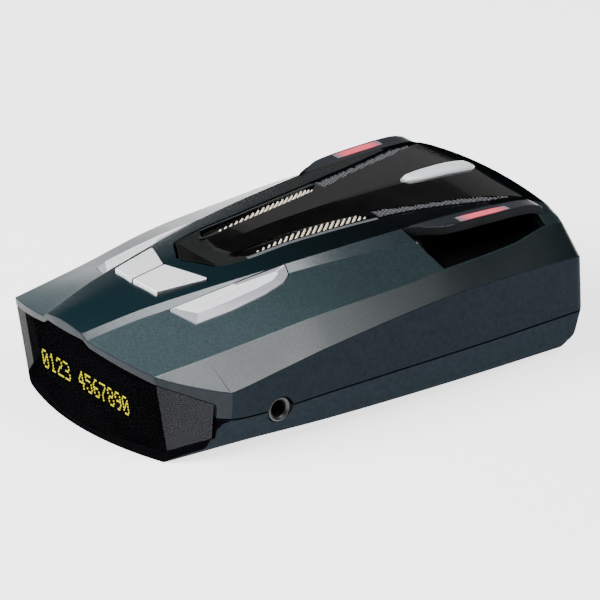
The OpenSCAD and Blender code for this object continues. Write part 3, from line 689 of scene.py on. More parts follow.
def behind_face(d):
    """Everything behind the leaning, bulging display face, moved back by d."""
    arc = [(x, FACE_BULGE * (x / FACE_HALF) ** 2) for x in frange(-FACE_HALF, FACE_HALF, 1.5)]
    side = 34
    outline = [(-side, 140), (-side, FACE_BULGE + 17)] + arc + [(side, FACE_BULGE + 17), (side, 140)]
    radii = [0] * len(outline)
    radii[2] = radii[-3] = 0.8
    place = Matrix.Translation((0, -BODY_L / 2 + FACE_BACK + d, 21)) @ Matrix.Rotation(FACE_LEAN, 4, "X")
    return prism("front", rounded(outline, radii, 5), -60, 60, place)


def window_prism(g, depth):
    outline = grown(mirrored(WINDOW_HALF), g)
    outline = rounded(outline, [0.5] * len(outline), 4)
    return prism("window", outline, -BODY_L / 2 - 8, -BODY_L / 2 + depth, ALONG_Y)


def below_parting(g):
    return slab("below", frange(-60.5, 59.5, 1.5), 1, lambda s, f: -45 + 90 * f, lambda x, s: -8,
                lambda x, s: along(PARTING, 2, clamp(s, CURVE_START, SIDE_END)) + g)


def scoop_floor(x, s):
    ex, ez = spot(CHEEK_TOP, s)
    return SCOOP_LOW + (ez - 0.5 - SCOOP_LOW) * max(0, (x - SCOOP_IN) / (ex - SCOOP_IN))


def scoop_lie(x, s):
    """The scoop's front wall slants; the slant fades out along it."""
    return s + (x - 24.6) * 0.25 * clamp((24 - s) / 6, 0, 1)


def scoop_cut(g):
    return slab("scoop", frange(SCOOP_START - g, SCOOP_END + g, 1.5), 6,
                lambda s, f: SCOOP_IN - g + (along(CHEEK_TOP, 1, s) - 0.35 + 2 * g - SCOOP_IN) * f,
                lambda x, s: scoop_floor(x, s) - 1 - g, lambda x, s: 40, scoop_lie)


def visor_x(s):
    return along(VISOR_EDGE, 1, clamp(s, VISOR_START, VISOR_END))


def visor_z(s):
    return along(VISOR_EDGE, 2, clamp(s, VISOR_START, VISOR_END))


def visor_top(x, s):
    ex, ez = spot(HOOD_EDGE, s)
    return ez + (visor_z(s) - ez) * (x - ex) / max(0.3, visor_x(s) - ex)


SEAM_X = SCOOP_IN


def visor():
    """Overhanging slab of one visor; its inner strip continues the hood."""
    def across(s, f):
        ex = along(HOOD_EDGE, 1, s)
        out = max(visor_x(s), ex + 0.2)
        stops = [SEAM_X - 1.6, SEAM_X - 0.02, SEAM_X, (SEAM_X + ex) / 2, ex, (ex + out) / 2, out]
        return stops[round(f * 6)]

    def top(x, s):
        ex = along(HOOD_EDGE, 1, s)
        drop = 0.5 * max(clamp((17.2 - s) / 1, 0, 1), clamp((s - 47) / 0.8, 0, 1))
        if x < SEAM_X - 0.01:
            return hood_z(x, s) - 0.4
        return (hood_z(x, s) if x <= ex else visor_top(x, s)) - drop

    rows = [VISOR_START, 17, 18.2] + frange(20, 46.4, 1.2) + [47, VISOR_END]
    return slab("visor", rows, 6, across, lambda x, s: visor_z(s) - VISOR_T, top)


def key_well(outline, base):
    """Opening in the upper shell that a key stands in."""
    return prism("well", rounded(grown(outline, KEY_SHOWN_GAP), [0.35] * len(outline), 4), base, base + 20)


def lamp_slab(g, top):
    """Lamp strip of one visor, grown by g."""
    def across(s, f):
        return (along(HOOD_EDGE, 1, s) + LAMP_IN - g) * (1 - f) + (visor_x(s) - LAMP_OUT + g) * f

    return slab("lamp", frange(LAMP_START - g, LAMP_END + g, 1.5), 2, across,
                lambda x, s: visor_z(s) - LAMP_T - g, lambda x, s: visor_top(x, s) + top)


def insert_reach(s):
    return along(INSERT_HALF, 1, s)


def insert_span(g, low, top):
    """A slab under the outline of the gloss insert, grown by g."""
    rows = ([INSERT_NOSE - g] + frange(-25.2, INSERT_CORNER, 0.9) + frange(-20.4, INSERT_END, 1.6)[:-1]
            + [INSERT_END + g])

    def across(s, f):
        return (insert_reach(clamp(s, INSERT_NOSE, INSERT_END)) + g) * (2 * f - 1)

    return slab("span", rows, 10, across, low, top)


def insert_bed(x, s):
    """Top of the ledge under the insert; it dips under the insert's dished nose."""
    dish = clamp((-6 - s) / 6, 0, 1)
    return hood_z(x, s) - INSERT_SINK - 0.75 - 0.7 * dish


def road_hole(g):
    return block("hole", (-11 - g, 40, 20.6 - g), (11 + g, 60, 25.8 + g))


def jack_hole():
    place = Matrix.Translation((0, -JACK_BACK, JACK_Z)) @ ALONG_X
    return prism("jack", round_outline(2.85, 48), 20, 40, place)


def case_skin(name):
    """The whole case as one solid, before it is hollowed and parted."""
    return keep(body(name, 0), behind_face(0))


def case_room():
    """The space inside the case's walls."""
    return keep(body("room", WALL), behind_face(WALL))


TAIL_START = 38
SHELL_SOFT = 0.14


def at_front(middle, normal):
    """Whether a face of a shell looks out at the display end."""
    return normal.y < -0.35 and middle.y < -30


def shell_light_and_shade_of(middle, normal):
    """Which tone a face of the upper shell gets: each region of the one paint has its own lighter or darker
    copy, painted light and shade; lip is near-black plastic.
    """
    x, y, z = abs(middle.x), middle.y, middle.z
    outward = normal.x * (1 if middle.x > 0 else -1)
    at = clamp(y, CURVE_START, CURVE_END)
    hx, cx = along(HOOD_EDGE, 1, at), along(CHEEK_TOP, 1, at)
    fx, fz = spot(HOOD_FOOT, at)
    gx, gz = spot(CHEEK_FOOT, clamp(y, CURVE_START, SIDE_END))
    if at_front(middle, normal):
        return "rim"
    if VISOR_START <= y <= VISOR_END and normal.z > 0.5 and z > visor_z(y) - 0.8 and hx + 0.2 < x:
        return "visor"
    if normal.z > 0.3 and x < hx + 0.25 and z > hood_z(x, y) - 0.35:
        return "tail" if y > TAIL_START else "hood"
    if normal.z > 0.3 and hx - 0.3 < x < fx + 0.25 and z > fz - 0.5:
        return "chamfer"
    if normal.z > 0.5 and fx - 0.2 < x < cx + 0.3 and z > deck_z(x, y) - 0.4:
        return "deck"
    if outward > 0.2 and x > cx - 0.4 and z > gz + 0.5:
        return "cheek"
    if outward > 0.5 and x > gx - 1.2:
        return "wall"
    if normal.y > 0.3 and y > 49:
        return "wall"
    return "lip"


def spared(p):
    """Whether an edge stays sharp: on the visor's seam with the hood, and round the visor's tip."""
    x = abs(p.x)
    return p.z > 28.5 and (abs(x - SEAM_X) < 0.25 or 12 < p.y < 19.5 and x > 15)


def upper_shell():
    """Upper half of the case, with all its openings."""
    shell = cut(case_skin("upper_shell"), case_room(), *both(lambda: scoop_cut(0)))
    shell = join(shell, *both(visor))
    cut(shell, below_parting(SEAM / 2), window_prism(WINDOW_GAP, WINDOW_ROOM))
    cut(shell, *both(lambda: key_well(WING, WING_WELL_Z)), *both(lambda: key_well(STRIP, STRIP_WELL_Z)))
    cut(shell, insert_span(0.1, insert_bed, lambda x, s: 40))
    cut(shell, insert_span(-LEDGE, lambda x, s: 20, lambda x, s: 40))
    cut(shell, jack_hole(), road_hole(0.1), *both(lambda: lamp_slab(0.06, 3)))
    return soften(shell, SHELL_SOFT, spare=spared)


BRACKET_SLOT = (-13.1, 43.7, 3.85), (13.1, 64, 9.85)
LABEL_RECESS = (-16.1, -20.1, -1), (16.1, 4.1, 0.32)
SCREW_SPOTS = [(side * x, y) for side in (-1, 1) for x, y in ((21.4, -14), (22.6, 42))]
SCREW_HOLE_R, SCREW_HOLE_DEEP = 1.9, 2.2


def lower_shell():
    """Lower half of the case, with the bracket's slot, the label's recess and the screw holes."""
    shell = cut(case_skin("lower_shell"), case_room())
    keep(shell, below_parting(-SEAM / 2))
    cut(shell, window_prism(WINDOW_GAP, WINDOW_ROOM), jack_hole())
    cut(shell, block("slot", *BRACKET_SLOT), block("label", *LABEL_RECESS))
    hole = round_outline(SCREW_HOLE_R, 32)
    for x, y in SCREW_SPOTS:
        cut(shell, prism("hole", hole, -1, SCREW_HOLE_DEEP, Matrix.Translation((x, y, 0))))
    return soften(shell, SHELL_SOFT)


def dress(piece, finishes, pick):
    """Gives each face of a piece the finish that pick(middle, normal) names."""
    names = list(finishes)
    piece.data.materials.clear()
    for name in names:
        piece.data.materials.append(finishes[name])
    for face in piece.data.polygons:
        face.material_index = names.index(pick(face.center, face.normal))
    return piece


# ---- window and display

def window_lens():
    """Window that wraps round both front corners."""
    lens = keep(body("lens", 0.02), behind_face(0.05), window_prism(0, WINDOW_REACH))
    cut(lens, behind_face(0.05 + WINDOW_T))
    return soften(lens, 0.1)


PANEL_Y, PANEL_Z = -47.9, 10.2
ON_PANEL = Matrix.Translation((0, PANEL_Y, PANEL_Z)) @ Matrix.Rotation(FACE_LEAN, 4, "X")


DIGITS = {
    "0": ("01110", "10001", "10011", "10101", "11001", "10001", "01110"),
    "1": ("00100", "01100", "00100", "00100", "00100", "00100", "01110"),
    "2": ("01110", "10001", "00001", "00110", "01000", "10000", "11111"),
    "3": ("11110", "00001", "00001", "01110", "00001", "00001", "11110"),
    "4": ("00010", "00110", "01010", "10010", "11111", "00010", "00010"),
    "5": ("11111", "10000", "11110", "00001", "00001", "10001", "01110"),
    "6": ("00110", "01000", "10000", "11110", "10001", "10001", "01110"),
    "7": ("11111", "00001", "00010", "00100", "01000", "01000", "01000"),
    "8": ("01110", "10001", "10001", "01110", "10001", "10001", "01110"),
    "9": ("01110", "10001", "10001", "01111", "00001", "00010", "01100"),
}
SHOWN = "0123 4567890"
# Pitch of the digits, of a digit's columns and of its rows; a dot's width and height; the middle of them all
CELL_PITCH, DOT_PITCH, DOT_STEP = 2.53, 0.4, 0.64
DOT_W, DOT_H = 0.2, 0.32
DOTS_X, DOTS_Z = -1.7, -1.5


def dots():
    """Lit squares of the generic digits on the panel's face."""
    points, faces = [], []
    for place, sign in enumerate(SHOWN):
        for row, line in enumerate(DIGITS.get(sign, ())):
            for column, lit in enumerate(line):
                if lit == "0":
                    continue
                x = DOTS_X + (place - (len(SHOWN) - 1) / 2) * CELL_PITCH + (column - 2) * DOT_PITCH
                z = DOTS_Z + (3 - row) * DOT_STEP
                faces += box_faces(len(points))
                for y in (-0.16, -0.02):
                    points += [ON_PANEL @ Vector((x + u * DOT_W / 2, y, z + v * DOT_H / 2))
                               for u, v in ((-1, -1), (1, -1), (1, 1), (-1, 1))]
    return make("dots", points, faces)


# ---- keys

def flat_top(corners, rises):
    """Coefficients of a nearly flat surface through points that stand above the hood's skin."""
    rows = Matrix([(1, x, y, x * y) for x, y in corners])
    return rows.inverted() @ Vector([hood_z(x, y) + rise for (x, y), rise in zip(corners, rises)])


def wing_key():
    """One wing of the silver V: a nearly flat cap with rounded edges."""
    flat = flat_top(WING, WING_RISE)
    cap = prism("wing", rounded(WING, [0.25, 0.3, 0.35, 0.25], 4), 24.5, 40)
    cut(cap, slab("above", frange(-40, -24, 1), 6, lambda s, f: -1 + 14 * f,
                  lambda x, s: flat.dot(Vector((1, x, s, x * s))), lambda x, s: 60))
    return soften(cap, 0.22, above=40, segments=3)


STRIP_TOP = [(11.9, -35.3), (13.7, -22), (15, -12.8), (15.6, -13.1), (16.3, -14.8), (16.6, -18.8),
             (16.5, -26), (15.9, -32.8)]
STRIP_RADII = [0.2, 0, 0.3, 0.4, 0.6, 0, 0, 0.3]
STRIP_FOOT_Z = 20.3
STRIP_IN, STRIP_LEAN, STRIP_OUT = 11.5, 0.12, 16.8


def chamfer_z(x, s):
    """Height of the chamfer between the hood's edge and the deck."""
    (ax, az), (bx, bz) = spot(HOOD_EDGE, s), spot(HOOD_FOOT, s)
    return az + (bz - az) * clamp((x - ax) / (bx - ax), 0, 1)


def skin_z(x, s):
    """Height of the shell's skin beside the hood: the chamfer, then the deck."""
    return chamfer_z(x, s) if x < along(HOOD_FOOT, 1, s) else deck_z(x, s)


def strip_top_z(x, s):
    """Height of the strip key's flat top, which stands lower over the deck towards the rear."""
    inner = STRIP_IN + (s + 35.9) * STRIP_LEAN
    far = deck_z(STRIP_OUT, s) + (KEY_RISE + 0.35) * (1 - 0.65 * clamp((s + 34) / 24, 0, 1))
    near = max(far, skin_z(inner, s) + 0.3)
    return near + (far - near) * clamp((x - inner) / (STRIP_OUT - inner), 0, 1)


def strip_key():
    """Key beside the hood: a flat top inside a broad chamfer that falls to the deck."""
    base = rounded(STRIP, STRIP_RADII, 4)
    top = rounded(STRIP_TOP, STRIP_RADII, 4)
    rings = [[(p.x, p.y, STRIP_FOOT_Z) for p in base],
             [(p.x, p.y, skin_z(p.x, p.y) + 0.12) for p in base],
             [(p.x, p.y, strip_top_z(p.x, p.y)) for p in top]]
    middle = [(14.5 + (s + 30) * 0.06, s) for s in (clamp(p.y, -31, -14) for p in top)]
    for k in (0.5, 0.98):
        inwards = [(p.x + (m[0] - p.x) * k, p.y + (m[1] - p.y) * k) for p, m in zip(top, middle)]
        rings.append([(x, y, strip_top_z(x, y)) for x, y in inwards])
    return loft("strip", rings)


def wing_light_and_shade(middle, normal):
    """The top and the front edge get the bright silver; the flanks get a darker copy of it, a painted
    reflection of the dark hood.
    """
    return "top" if normal.z > 0.5 or normal.y < -0.5 else "flank"


def strip_light_and_shade(middle, normal):
    """The flat top gets the bright silver; the chamfer around it gets a duller copy of it, painted shade."""
    below = strip_top_z(abs(middle.x), middle.y) - middle.z
    return "top" if normal.z > 0.5 and below < 0.07 else "band"


# ---- insert

# Rows of the insert's top, each as (station in the middle, station at the edge, height in the middle);
# without a height the middle follows the ridge
NOSE = [(INSERT_NOSE, INSERT_CORNER, 30.15), (-23.8, -20.15, 30.02), (-21.7, -18.7, 29.94),
        (-19.6, -17.25, 29.87), (-17.5, -15.8, 29.8), (-16.8, -15.3, 30.35), (-15, -13.8, 30.8),
        (-13, -12.2, 31.2), (-10, -9.6, 31.7), (-7, -6.9, 32.05), (-3.2, -3.2, 32.35)]
BODY_ROWS = [(s, s, None) for s in frange(-1, INSERT_END, 2)]


def finer(rows, count):
    """Rows with more of them put between each two."""
    out = [rows[0]]
    for a, b in zip(rows, rows[1:]):
        out += [tuple(p + (q - p) * k / count for p, q in zip(a, b)) for k in range(1, count + 1)]
    return out


def insert_height(mid_y, mid_z):
    return along(RIDGE, 2, mid_y) - RIDGE_SINK if mid_z is None else mid_z


def insert_grid(t, row, reach):
    """Point of the insert's top; t is 0 on the ridge, 1 at the chamfer line and 2 at the border."""
    mid_y, edge_y, mid_z = row
    chamfer = INSERT_CHAMFER * clamp((edge_y + 21) / 6, 0.05, 1)
    rim = reach - chamfer
    x = rim * min(abs(t), 1) + chamfer * max(0, abs(t) - 1)
    y = mid_y + (edge_y - mid_y) * x / reach
    shoulder = hood_z(rim, y) - (0.08 if edge_y < -15 else SHOULDER_SINK)
    middle = insert_height(mid_y, mid_z)
    z = middle + (shoulder - middle) * min(abs(t), 1)
    if edge_y <= INSERT_CORNER:
        z = hood_z(x, y) - RIDGE_SINK
    z -= 0.35 * max(0, abs(t) - 1) * clamp((edge_y + 21) / 6, 0, 1)
    return Vector((x if t >= 0 else -x, y, z))


def insert_solid():
    """Gloss insert without its openings."""
    rows = finer(NOSE, 3) + BODY_ROWS
    sides = [k / 10 for k in range(11)] + [1.5, 2]
    ts = [-t for t in sides[:0:-1]] + sides
    rings = []
    for row in rows:
        reach = insert_reach(clamp(row[1], INSERT_CORNER, INSERT_END))
        top = [insert_grid(t, row, reach) for t in ts]
        rings.append(top + [p - Vector((0, 0, INSERT_T)) for p in reversed(top)])
    return loft("insert", rings)


POCKET_IN = [(-17.5, 5.6), (-15, 4.9), (-5, 5.3), (6, 6.6), (13.8, 7.9)]


def pocket_inner(s):
    return along(POCKET_IN, 1, clamp(s, -17.5, 14.4))


def pocket_outer(s):
    return insert_reach(s) - 1.15


def pocket_lie(x, s):
    """The sunk zone's front and rear edges slant back outwards."""
    return s + (x - pocket_inner(s)) * (1.1 * clamp((s - 4) / 8, 0, 1) + 0.5 * clamp((-10 - s) / 6, 0, 1))


def pocket(g, low, top):
    """Sunk zone beside the centre panel."""
    def across(s, f):
        return (pocket_inner(s) - g) * (1 - f) + (pocket_outer(s) + g) * f

    return slab("pocket", frange(-16.6 - g, 12.4 + g, 1.2), 4, across,
                lambda x, s: hood_z(x, s) + low, lambda x, s: hood_z(x, s) + top, pocket_lie)


POCKET_DEPTH = 0.75
SLAT_COUNT, SLAT_PITCH, SLAT_FIRST, SLAT_W = 20, 1.3, -12.4, 0.32


def slats():
    """Pale slats across the sunk zones; they lean the same way on both sides."""
    points, faces = [], []
    run, wide = Vector((-0.65, 0.76, 0)), Vector((0.76, 0.65, 0))
    for side in (-1, 1):
        for i in range(SLAT_COUNT):
            s = SLAT_FIRST + SLAT_PITCH * i
            reach = min(0.7 + 0.36 * i, 3.6, 1.4 + 0.9 * (SLAT_COUNT - 1 - i))
            near_x = pocket_outer(s) - 0.12 if side > 0 else -pocket_inner(s) - 0.12
            faces += box_faces(len(points))
            for z in (0.62, -0.1):
                for a, b in ((0, -1), (1, -1), (1, 1), (0, 1)):
                    p = Vector((near_x, s, 0)) + run * a * reach + wide * b * SLAT_W / 2
                    points.append(Vector((p.x, p.y, insert_plane(p.x, p.y) - POCKET_DEPTH + z)))
    return soften(make("slats", points, faces), 0.06)


# Inner and outer edge of the mesh zone, each as (station, x)
MESH_IN = [(14.7, 7.3), (23, 10), (36.5, 13.6), (46, 17.2)]
MESH_OUT = [(14.7, 11.1), (27, 13.5), (38, 16.5), (46, 17.6)]
MESH_START, MESH_END = 15.6, 45.9


def insert_plane(x, s):
    """Height of the insert's straight side at x."""
    reach = insert_reach(s) - INSERT_CHAMFER
    mid = along(RIDGE, 2, s) - RIDGE_SINK
    return mid + (hood_z(reach, s) - SHOULDER_SINK - mid) * min(1, abs(x) / reach)


def mesh_outer(s):
    return min(along(MESH_OUT, 1, s), insert_reach(clamp(s, -21, INSERT_END)) - 0.9)


def mesh_zone(g, low, top):
    """A slab with the outline of the mesh zone, grown by g."""
    return slab("zone", frange(MESH_START - g, MESH_END + g, 1.5), 2,
                lambda s, f: (along(MESH_IN, 1, s) - g) * (1 - f) + (mesh_outer(s) + g) * f,
                lambda x, s: insert_plane(x, s) + low, lambda x, s: insert_plane(x, s) + top)


CELL, WIRE = 0.95, 0.13


def honeycomb():
    """Hexagonal wires over one mesh zone."""
    points, faces = [], []
    row_step = CELL * math.sqrt(3) / 2
    whole, open_part = CELL / math.sqrt(3), (CELL - WIRE) / math.sqrt(3)
    for row in range(int((MESH_END - MESH_START) / row_step)):
        y = MESH_START + row_step * (row + 0.5)
        offset = (row % 2) / 2
        x = (math.ceil((along(MESH_IN, 1, y) + 0.15) / CELL - offset) + offset) * CELL
        while x < mesh_outer(y) - 0.15:
            z = insert_plane(x, y) - 0.06
            k = len(points)
            for size, dz in ((whole, 0), (open_part, 0), (open_part, -0.3)):
                for a in [math.pi / 3 * j for j in range(6)]:
                    points.append((x + size * math.sin(a), y + size * math.cos(a), z + dz))
            for j in range(6):
                m = (j + 1) % 6
                faces += [(ring + j, ring + m, ring + 6 + m, ring + 6 + j) for ring in (k, k + 6)]
            x += CELL
    return make("comb", points, faces)


EYE_Y, EYE_R = 29.9, 0.6
CAP_HALF = [(29.5, 0.5), (31, 1.25), (34, 1.9), (40, 2.25), (46, 2.1), (47.4, 1.1)]


def insert():
    """Gloss insert with the sunk zones, mesh zones and eye cut out."""
    piece = insert_solid()
    cut(piece, *both(lambda: pocket(0, -4, 3)), *both(lambda: mesh_zone(0.05, -2, 3)))
    cut(piece, prism("eye", round_outline(EYE_R + 0.15, 32), 20, 40, Matrix.Translation((0, EYE_Y, 0))))
    return soften(piece, 0.06)


def pocket_tray():
    """Black floor and skirt of one sunk zone."""
    return cut(pocket(0.55, -POCKET_DEPTH - 0.6, -0.45), pocket(0, -POCKET_DEPTH, 3))


def insert_finish_and_light(middle, normal):
    """Satin on the dished nose, in a grey that is partly a painted sheen; a pale tone on the chamfered
    border beside the slats, a painted highlight; gloss elsewhere.
    """
    x, y = abs(middle.x), middle.y
    if normal.z > 0.2 and y < 0.2 * x - 16.9:
        return "nose"
    border = insert_reach(clamp(y, INSERT_CORNER, INSERT_END)) - 0.62
    if x > border and normal.z > 0.3 and y < MESH_START:
        return "border"
    return "gloss"


def teardrop():
    """Pointed drop-shaped cover; the small lens sits at its nose."""
    rows = [29.5, 29.9, 30.4, 31, 31.8, 32.8] + frange(34, 45, 1) + [46, 46.7, 47.1, 47.4]
    rings = []
    for s in rows:
        reach = along(CAP_HALF, 1, s)
        rise = 0.95 * clamp((s - 29.2) / 1.6, 0.25, 1) * clamp((47.9 - s) / 1.6, 0.3, 1)
        seat = along(RIDGE, 2, s)
        top = [(reach * math.cos(a), s, seat - 0.12 + rise * math.sin(a) ** 0.8)
               for a in [math.pi * k / 14 for k in range(15)]]
        rings.append(top + [(-reach, s, seat - 0.25), (reach, s, seat - 0.25)])
    return loft("drop", rings)


# ---- scoops, lamps, inlet and small parts

SCOOP_WALL = 0.9


def scoop_liner():
    """Liner of one scoop: a floor and walls, open at the top under the visor."""
    liner = scoop_cut(-0.05)
    near = SCOOP_IN + SCOOP_WALL
    inner = slab("inner", frange(SCOOP_START + SCOOP_WALL, SCOOP_END - SCOOP_WALL, 1.5), 6,
                 lambda s, f: near + (along(CHEEK_TOP, 1, s) + 4 - near) * f,
                 scoop_floor, lambda x, s: 60, scoop_lie)
    roof = slab("roof", frange(10, 54, 2), 8, lambda s, f: 8 + 26 * f,
                lambda x, s: visor_z(s) - VISOR_T - 0.1 if x < 23.9 else along(CHEEK_TOP, 2, s) + 0.1,
                lambda x, s: 70)
    return cut(liner, inner, roof)


def lathe(name, profile, place, sides=48):
    """A closed profile of (radius, height) turned about an axis and placed; its ends lie off the axis."""
    points, faces = [], []
    n = len(profile)
    for k in range(sides):
        a = 2 * math.pi * k / sides
        points += [place @ Vector((r * math.cos(a), r * math.sin(a), h)) for r, h in profile]
    for k in range(sides):
        a, b = k * n, ((k + 1) % sides) * n
        faces += [(a + j, a + (j + 1) % n, b + (j + 1) % n, b + j) for j in range(n)]
    return make(name, points, faces)


def jack_barrel():
    """Barrel of the inlet with its chamfered bore."""
    place = Matrix.Translation((0, -JACK_BACK, JACK_Z)) @ ALONG_X
    profile = [(JACK_BORE, 20.7), (JACK_BORE, 31.1), (2.2, 31.55), (2.35, 31.6), (2.45, 31.55), (2.6, 31.4),
               (2.6, 20.7)]
    barrel = lathe("barrel", profile, place)
    housing = block("housing", (19.4, -JACK_BACK - 4, JACK_Z - 2.9), (27.8, -JACK_BACK + 4, JACK_Z + 2.9))
    soften(housing, 0.25)
    cut(housing, prism("bore", round_outline(2.5, 48), 20.6, 32, place))
    return join(housing, barrel)


def key_body(cap, outline, base, button, least_x):
    """A key's cap with its hidden flange and plunger."""
    flange = prism("flange", grown(outline, FLANGE_GROW), base - FLANGE_T, base)
    keep(flange, block("half", (least_x, -60, 0), (40, 60, 60)))
    place = Matrix.Translation((*button, 0))
    plunger = prism("plunger", round_outline(STEM_R, 32), STEM_TOP, base - FLANGE_T / 2, place)
    return join(cap, flange, plunger)


# ---- finishes

black_plastic = moulded("black_plastic", tone(20, 21, 23), 0.42)
gloss_black = gloss("gloss_black", tone(9, 9, 10), 0.14)
key_metal = satin("key_metal", tone(244, 246, 249), 0.3)
# Darker copies of the keys' silver: the strip's chamfer band is painted shade, the wing's flanks a painted
# reflection of the dark hood.
key_band_painted_shade = satin("key_band_painted_shade", tone(150, 151, 158), 0.35)
key_flank_painted_reflection = satin("key_flank_painted_reflection", tone(66, 70, 72), 0.35)
board_green = solder_mask("board")
chip = moulded("chip", tone(30, 30, 33), 0.5)
stem_plastic = moulded("stem", tone(40, 40, 42), 0.45)
# One paint in lit and shaded copies, painted light and shade: each region of the upper shell gets its own
# colour for the light it takes. The dark hood, wall, rim and tail tones are painted shade; the paler fronts
# towards the display end are painted reflection. lip is the near-black plastic of the other faces.
shell_light_and_shade_tones = {
    "hood": paint("hood_paint_light_and_shade", tone(6, 9, 11), 0.24, 0.0, 0.15, 0.12, tone(15, 33, 38)),
    "chamfer": paint("chamfer_paint_light_and_shade", tone(30, 41, 45), 0.28, 0.1, 0.3, 0.2, tone(74, 82, 86)),
    "deck": paint("deck_paint_light_and_shade", tone(30, 43, 46), 0.36, 0.2, 0.2, 0.3, tone(60, 75, 79)),
    "cheek": paint("cheek_paint_light_and_shade", tone(12, 22, 25), 0.36, 0.15, 0.1, 0.3, tone(46, 53, 56)),
    "wall": moulded("wall_painted_shade", tone(25, 32, 37), 0.5, Specular_IOR_Level=0.02),
    "visor": paint("visor_paint_light_and_shade", tone(34, 38, 43), 0.3, 0.1, 0.2, 0.15),
    "rim": moulded("rim_painted_shade", tone(28, 33, 37), 0.45, Specular_IOR_Level=0.1),
    "tail": moulded("tail_painted_shade", tone(6, 8, 9), 0.6, Specular_IOR_Level=0.0),
    "lip": moulded("lip_plastic", tone(9, 13, 15), 0.4, Specular_IOR_Level=0.06),
}

# Finish of the CAD nodes that keep their own mesh
CARRIED = [
    (matt("bezel_black", tone(6, 6, 7)), "display_bezel"),
    (matt("panel_glass", tone(4, 4, 4)), "display_panel"),
    (board_green, "display_board", "control_board", "main_board"),
    (clear("clear_lens", tone(214, 226, 214)), "laser_eye_lens"),
    (stem_plastic, "dim_stem", "mute_stem", "imute_stem", "city_stem"),
    (black_plastic, "switch_bodies", "bracket_socket", "speaker_frame", "board_link"),
    (metal("brass", tone(196, 160, 84), 0.28), "jack_contacts"),
    (moulded("filter", tone(44, 9, 13), 0.3, Specular_IOR_Level=0.12), "road_window"),
    (chip, "laser_sensor", "ic_chips"),
    (metal("zinc", tone(160, 162, 166), 0.42, grain=700, strength=0.4), "horn_antenna"),
    (metal("tinplate", tone(186, 188, 190), 0.25, grain=500), "rf_shield"),
    (cone_paper("cone"), "speaker_cone"),
    (moulded("magnet", tone(92, 93, 98), 0.5), "speaker_magnet"),
    (moulded("sleeve", tone(52, 54, 86), 0.35), "capacitors"),
    (metal("steel", tone(110, 112, 116), 0.3), "case_screws"),
    (paper("label"), "rating_label"),
]
for finish, *nodes in CARRIED:
    for node in nodes:
        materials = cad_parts[node].data.materials
        materials.clear()
        materials.append(finish)


# ---- pieces on their bodies

def put_shells():
    upper = dress(upper_shell(), shell_light_and_shade_tones, shell_light_and_shade_of)
    settle(upper, "upper_shell", "case", "shell", None, "upper_case")
    # The faces at the display end get a near-black copy of the lower shell's plastic: painted shade.
    finishes = {"side": moulded("lower_shell", tone(31, 37, 42), 0.5, Specular_IOR_Level=0.0),
                "front": matt("lower_front_painted_shade", tone(6, 6, 7))}
    lower = dress(lower_shell(), finishes, lambda *face: "front" if at_front(*face) else "side")
    settle(lower, "lower_shell", "case", "shell", None, "lower_case")


def put_display():
    # The lens's sides take a paler copy of the same smoked acrylic: a painted reflection.
    finishes = {"face": smoked("smoked_lens", tone(5, 5, 6), 0.0),
                "side": smoked("smoked_side_painted_reflection", tone(34, 35, 38), 0.08)}
    lens = dress(window_lens(), finishes, lambda middle, normal: "side" if abs(normal.x) > 0.78 else "face")
    settle(lens, "window_lens", "case", "window", None, "display_window")
    lit = glow("display_glow", tone(226, 226, 60), (0.82, 0.74, 0.04), 44)
    settle(dots(), "lit_digits", "case", "display_glow", lit)


def put_insert():
    # The nose's satin grey is partly a painted sheen, and the border's pale tone a painted highlight on the
    # gloss black insert.
    finishes = {"gloss": gloss_black,
                "nose": moulded("nose_satin_painted_sheen", tone(30, 32, 32), 0.4, Specular_IOR_Level=0.1),
                "border": moulded("border_painted_highlight", tone(92, 95, 100), 0.35, Specular_IOR_Level=0.2)}
    top = dress(insert(), finishes, insert_finish_and_light)
    settle(top, "gloss_insert", "case", "gloss_black", None, "top_insert", crisp=6)
    settle(slats(), "pale_slats", "case", "silver", moulded("slat_cream", tone(250, 240, 222), 0.4))


def put_side(side, word, wire):
    """Slotted floor, mesh, scoop and lamp strip of one side."""
    tray, comb, bed = pocket_tray(), honeycomb(), mesh_zone(-0.02, -0.66, -0.36)
    scoop, lamp = scoop_liner(), soften(lamp_slab(0, 0.02), 0.12)
    if side < 0:
        tray, comb, bed, scoop, lamp = (flipped_alone(p) for p in (tray, comb, bed, scoop, lamp))
    soften(scoop, 0.12)
    settle(tray, f"slot_tray_{word}", "case", "gloss_black", gloss_black, f"slot_grille_{word}")
    settle(comb, f"mesh_wires_{word}", "case", "mesh", wire)
    settle(bed, f"mesh_bed_{word}", "case", "mesh", gloss_black, f"mesh_grille_{word}")
    settle(scoop, f"scoop_liner_{word}", "case", "gloss_black", gloss_black, f"side_scoop_{word}")
    settle(lamp, f"lamp_strip_{word}", "case", "lamp", lamp_plastic("lamp_" + word), f"alert_lamp_{word}")


def put_keys(side, wing_name, strip_name):
    """The wing and the strip key of one side, each on its own body."""
    wing = key_body(wing_key(), WING, WING_FLANGE_Z, WING_BUTTON, 0.2)
    strip = key_body(strip_key(), STRIP, STRIP_FLANGE_Z, STRIP_BUTTON, 0)
    if side < 0:
        wing, strip = flipped_alone(wing), flipped_alone(strip)
    dress(wing, {"top": key_metal, "flank": key_flank_painted_reflection}, wing_light_and_shade)
    dress(strip, {"top": key_metal, "band": key_band_painted_shade}, strip_light_and_shade)
    settle(wing, f"{wing_name}_cap", f"{wing_name}_button", "silver", None, f"{wing_name}_key")
    settle(strip, f"{strip_name}_cap", f"{strip_name}_button", "silver", None, f"{strip_name}_key")


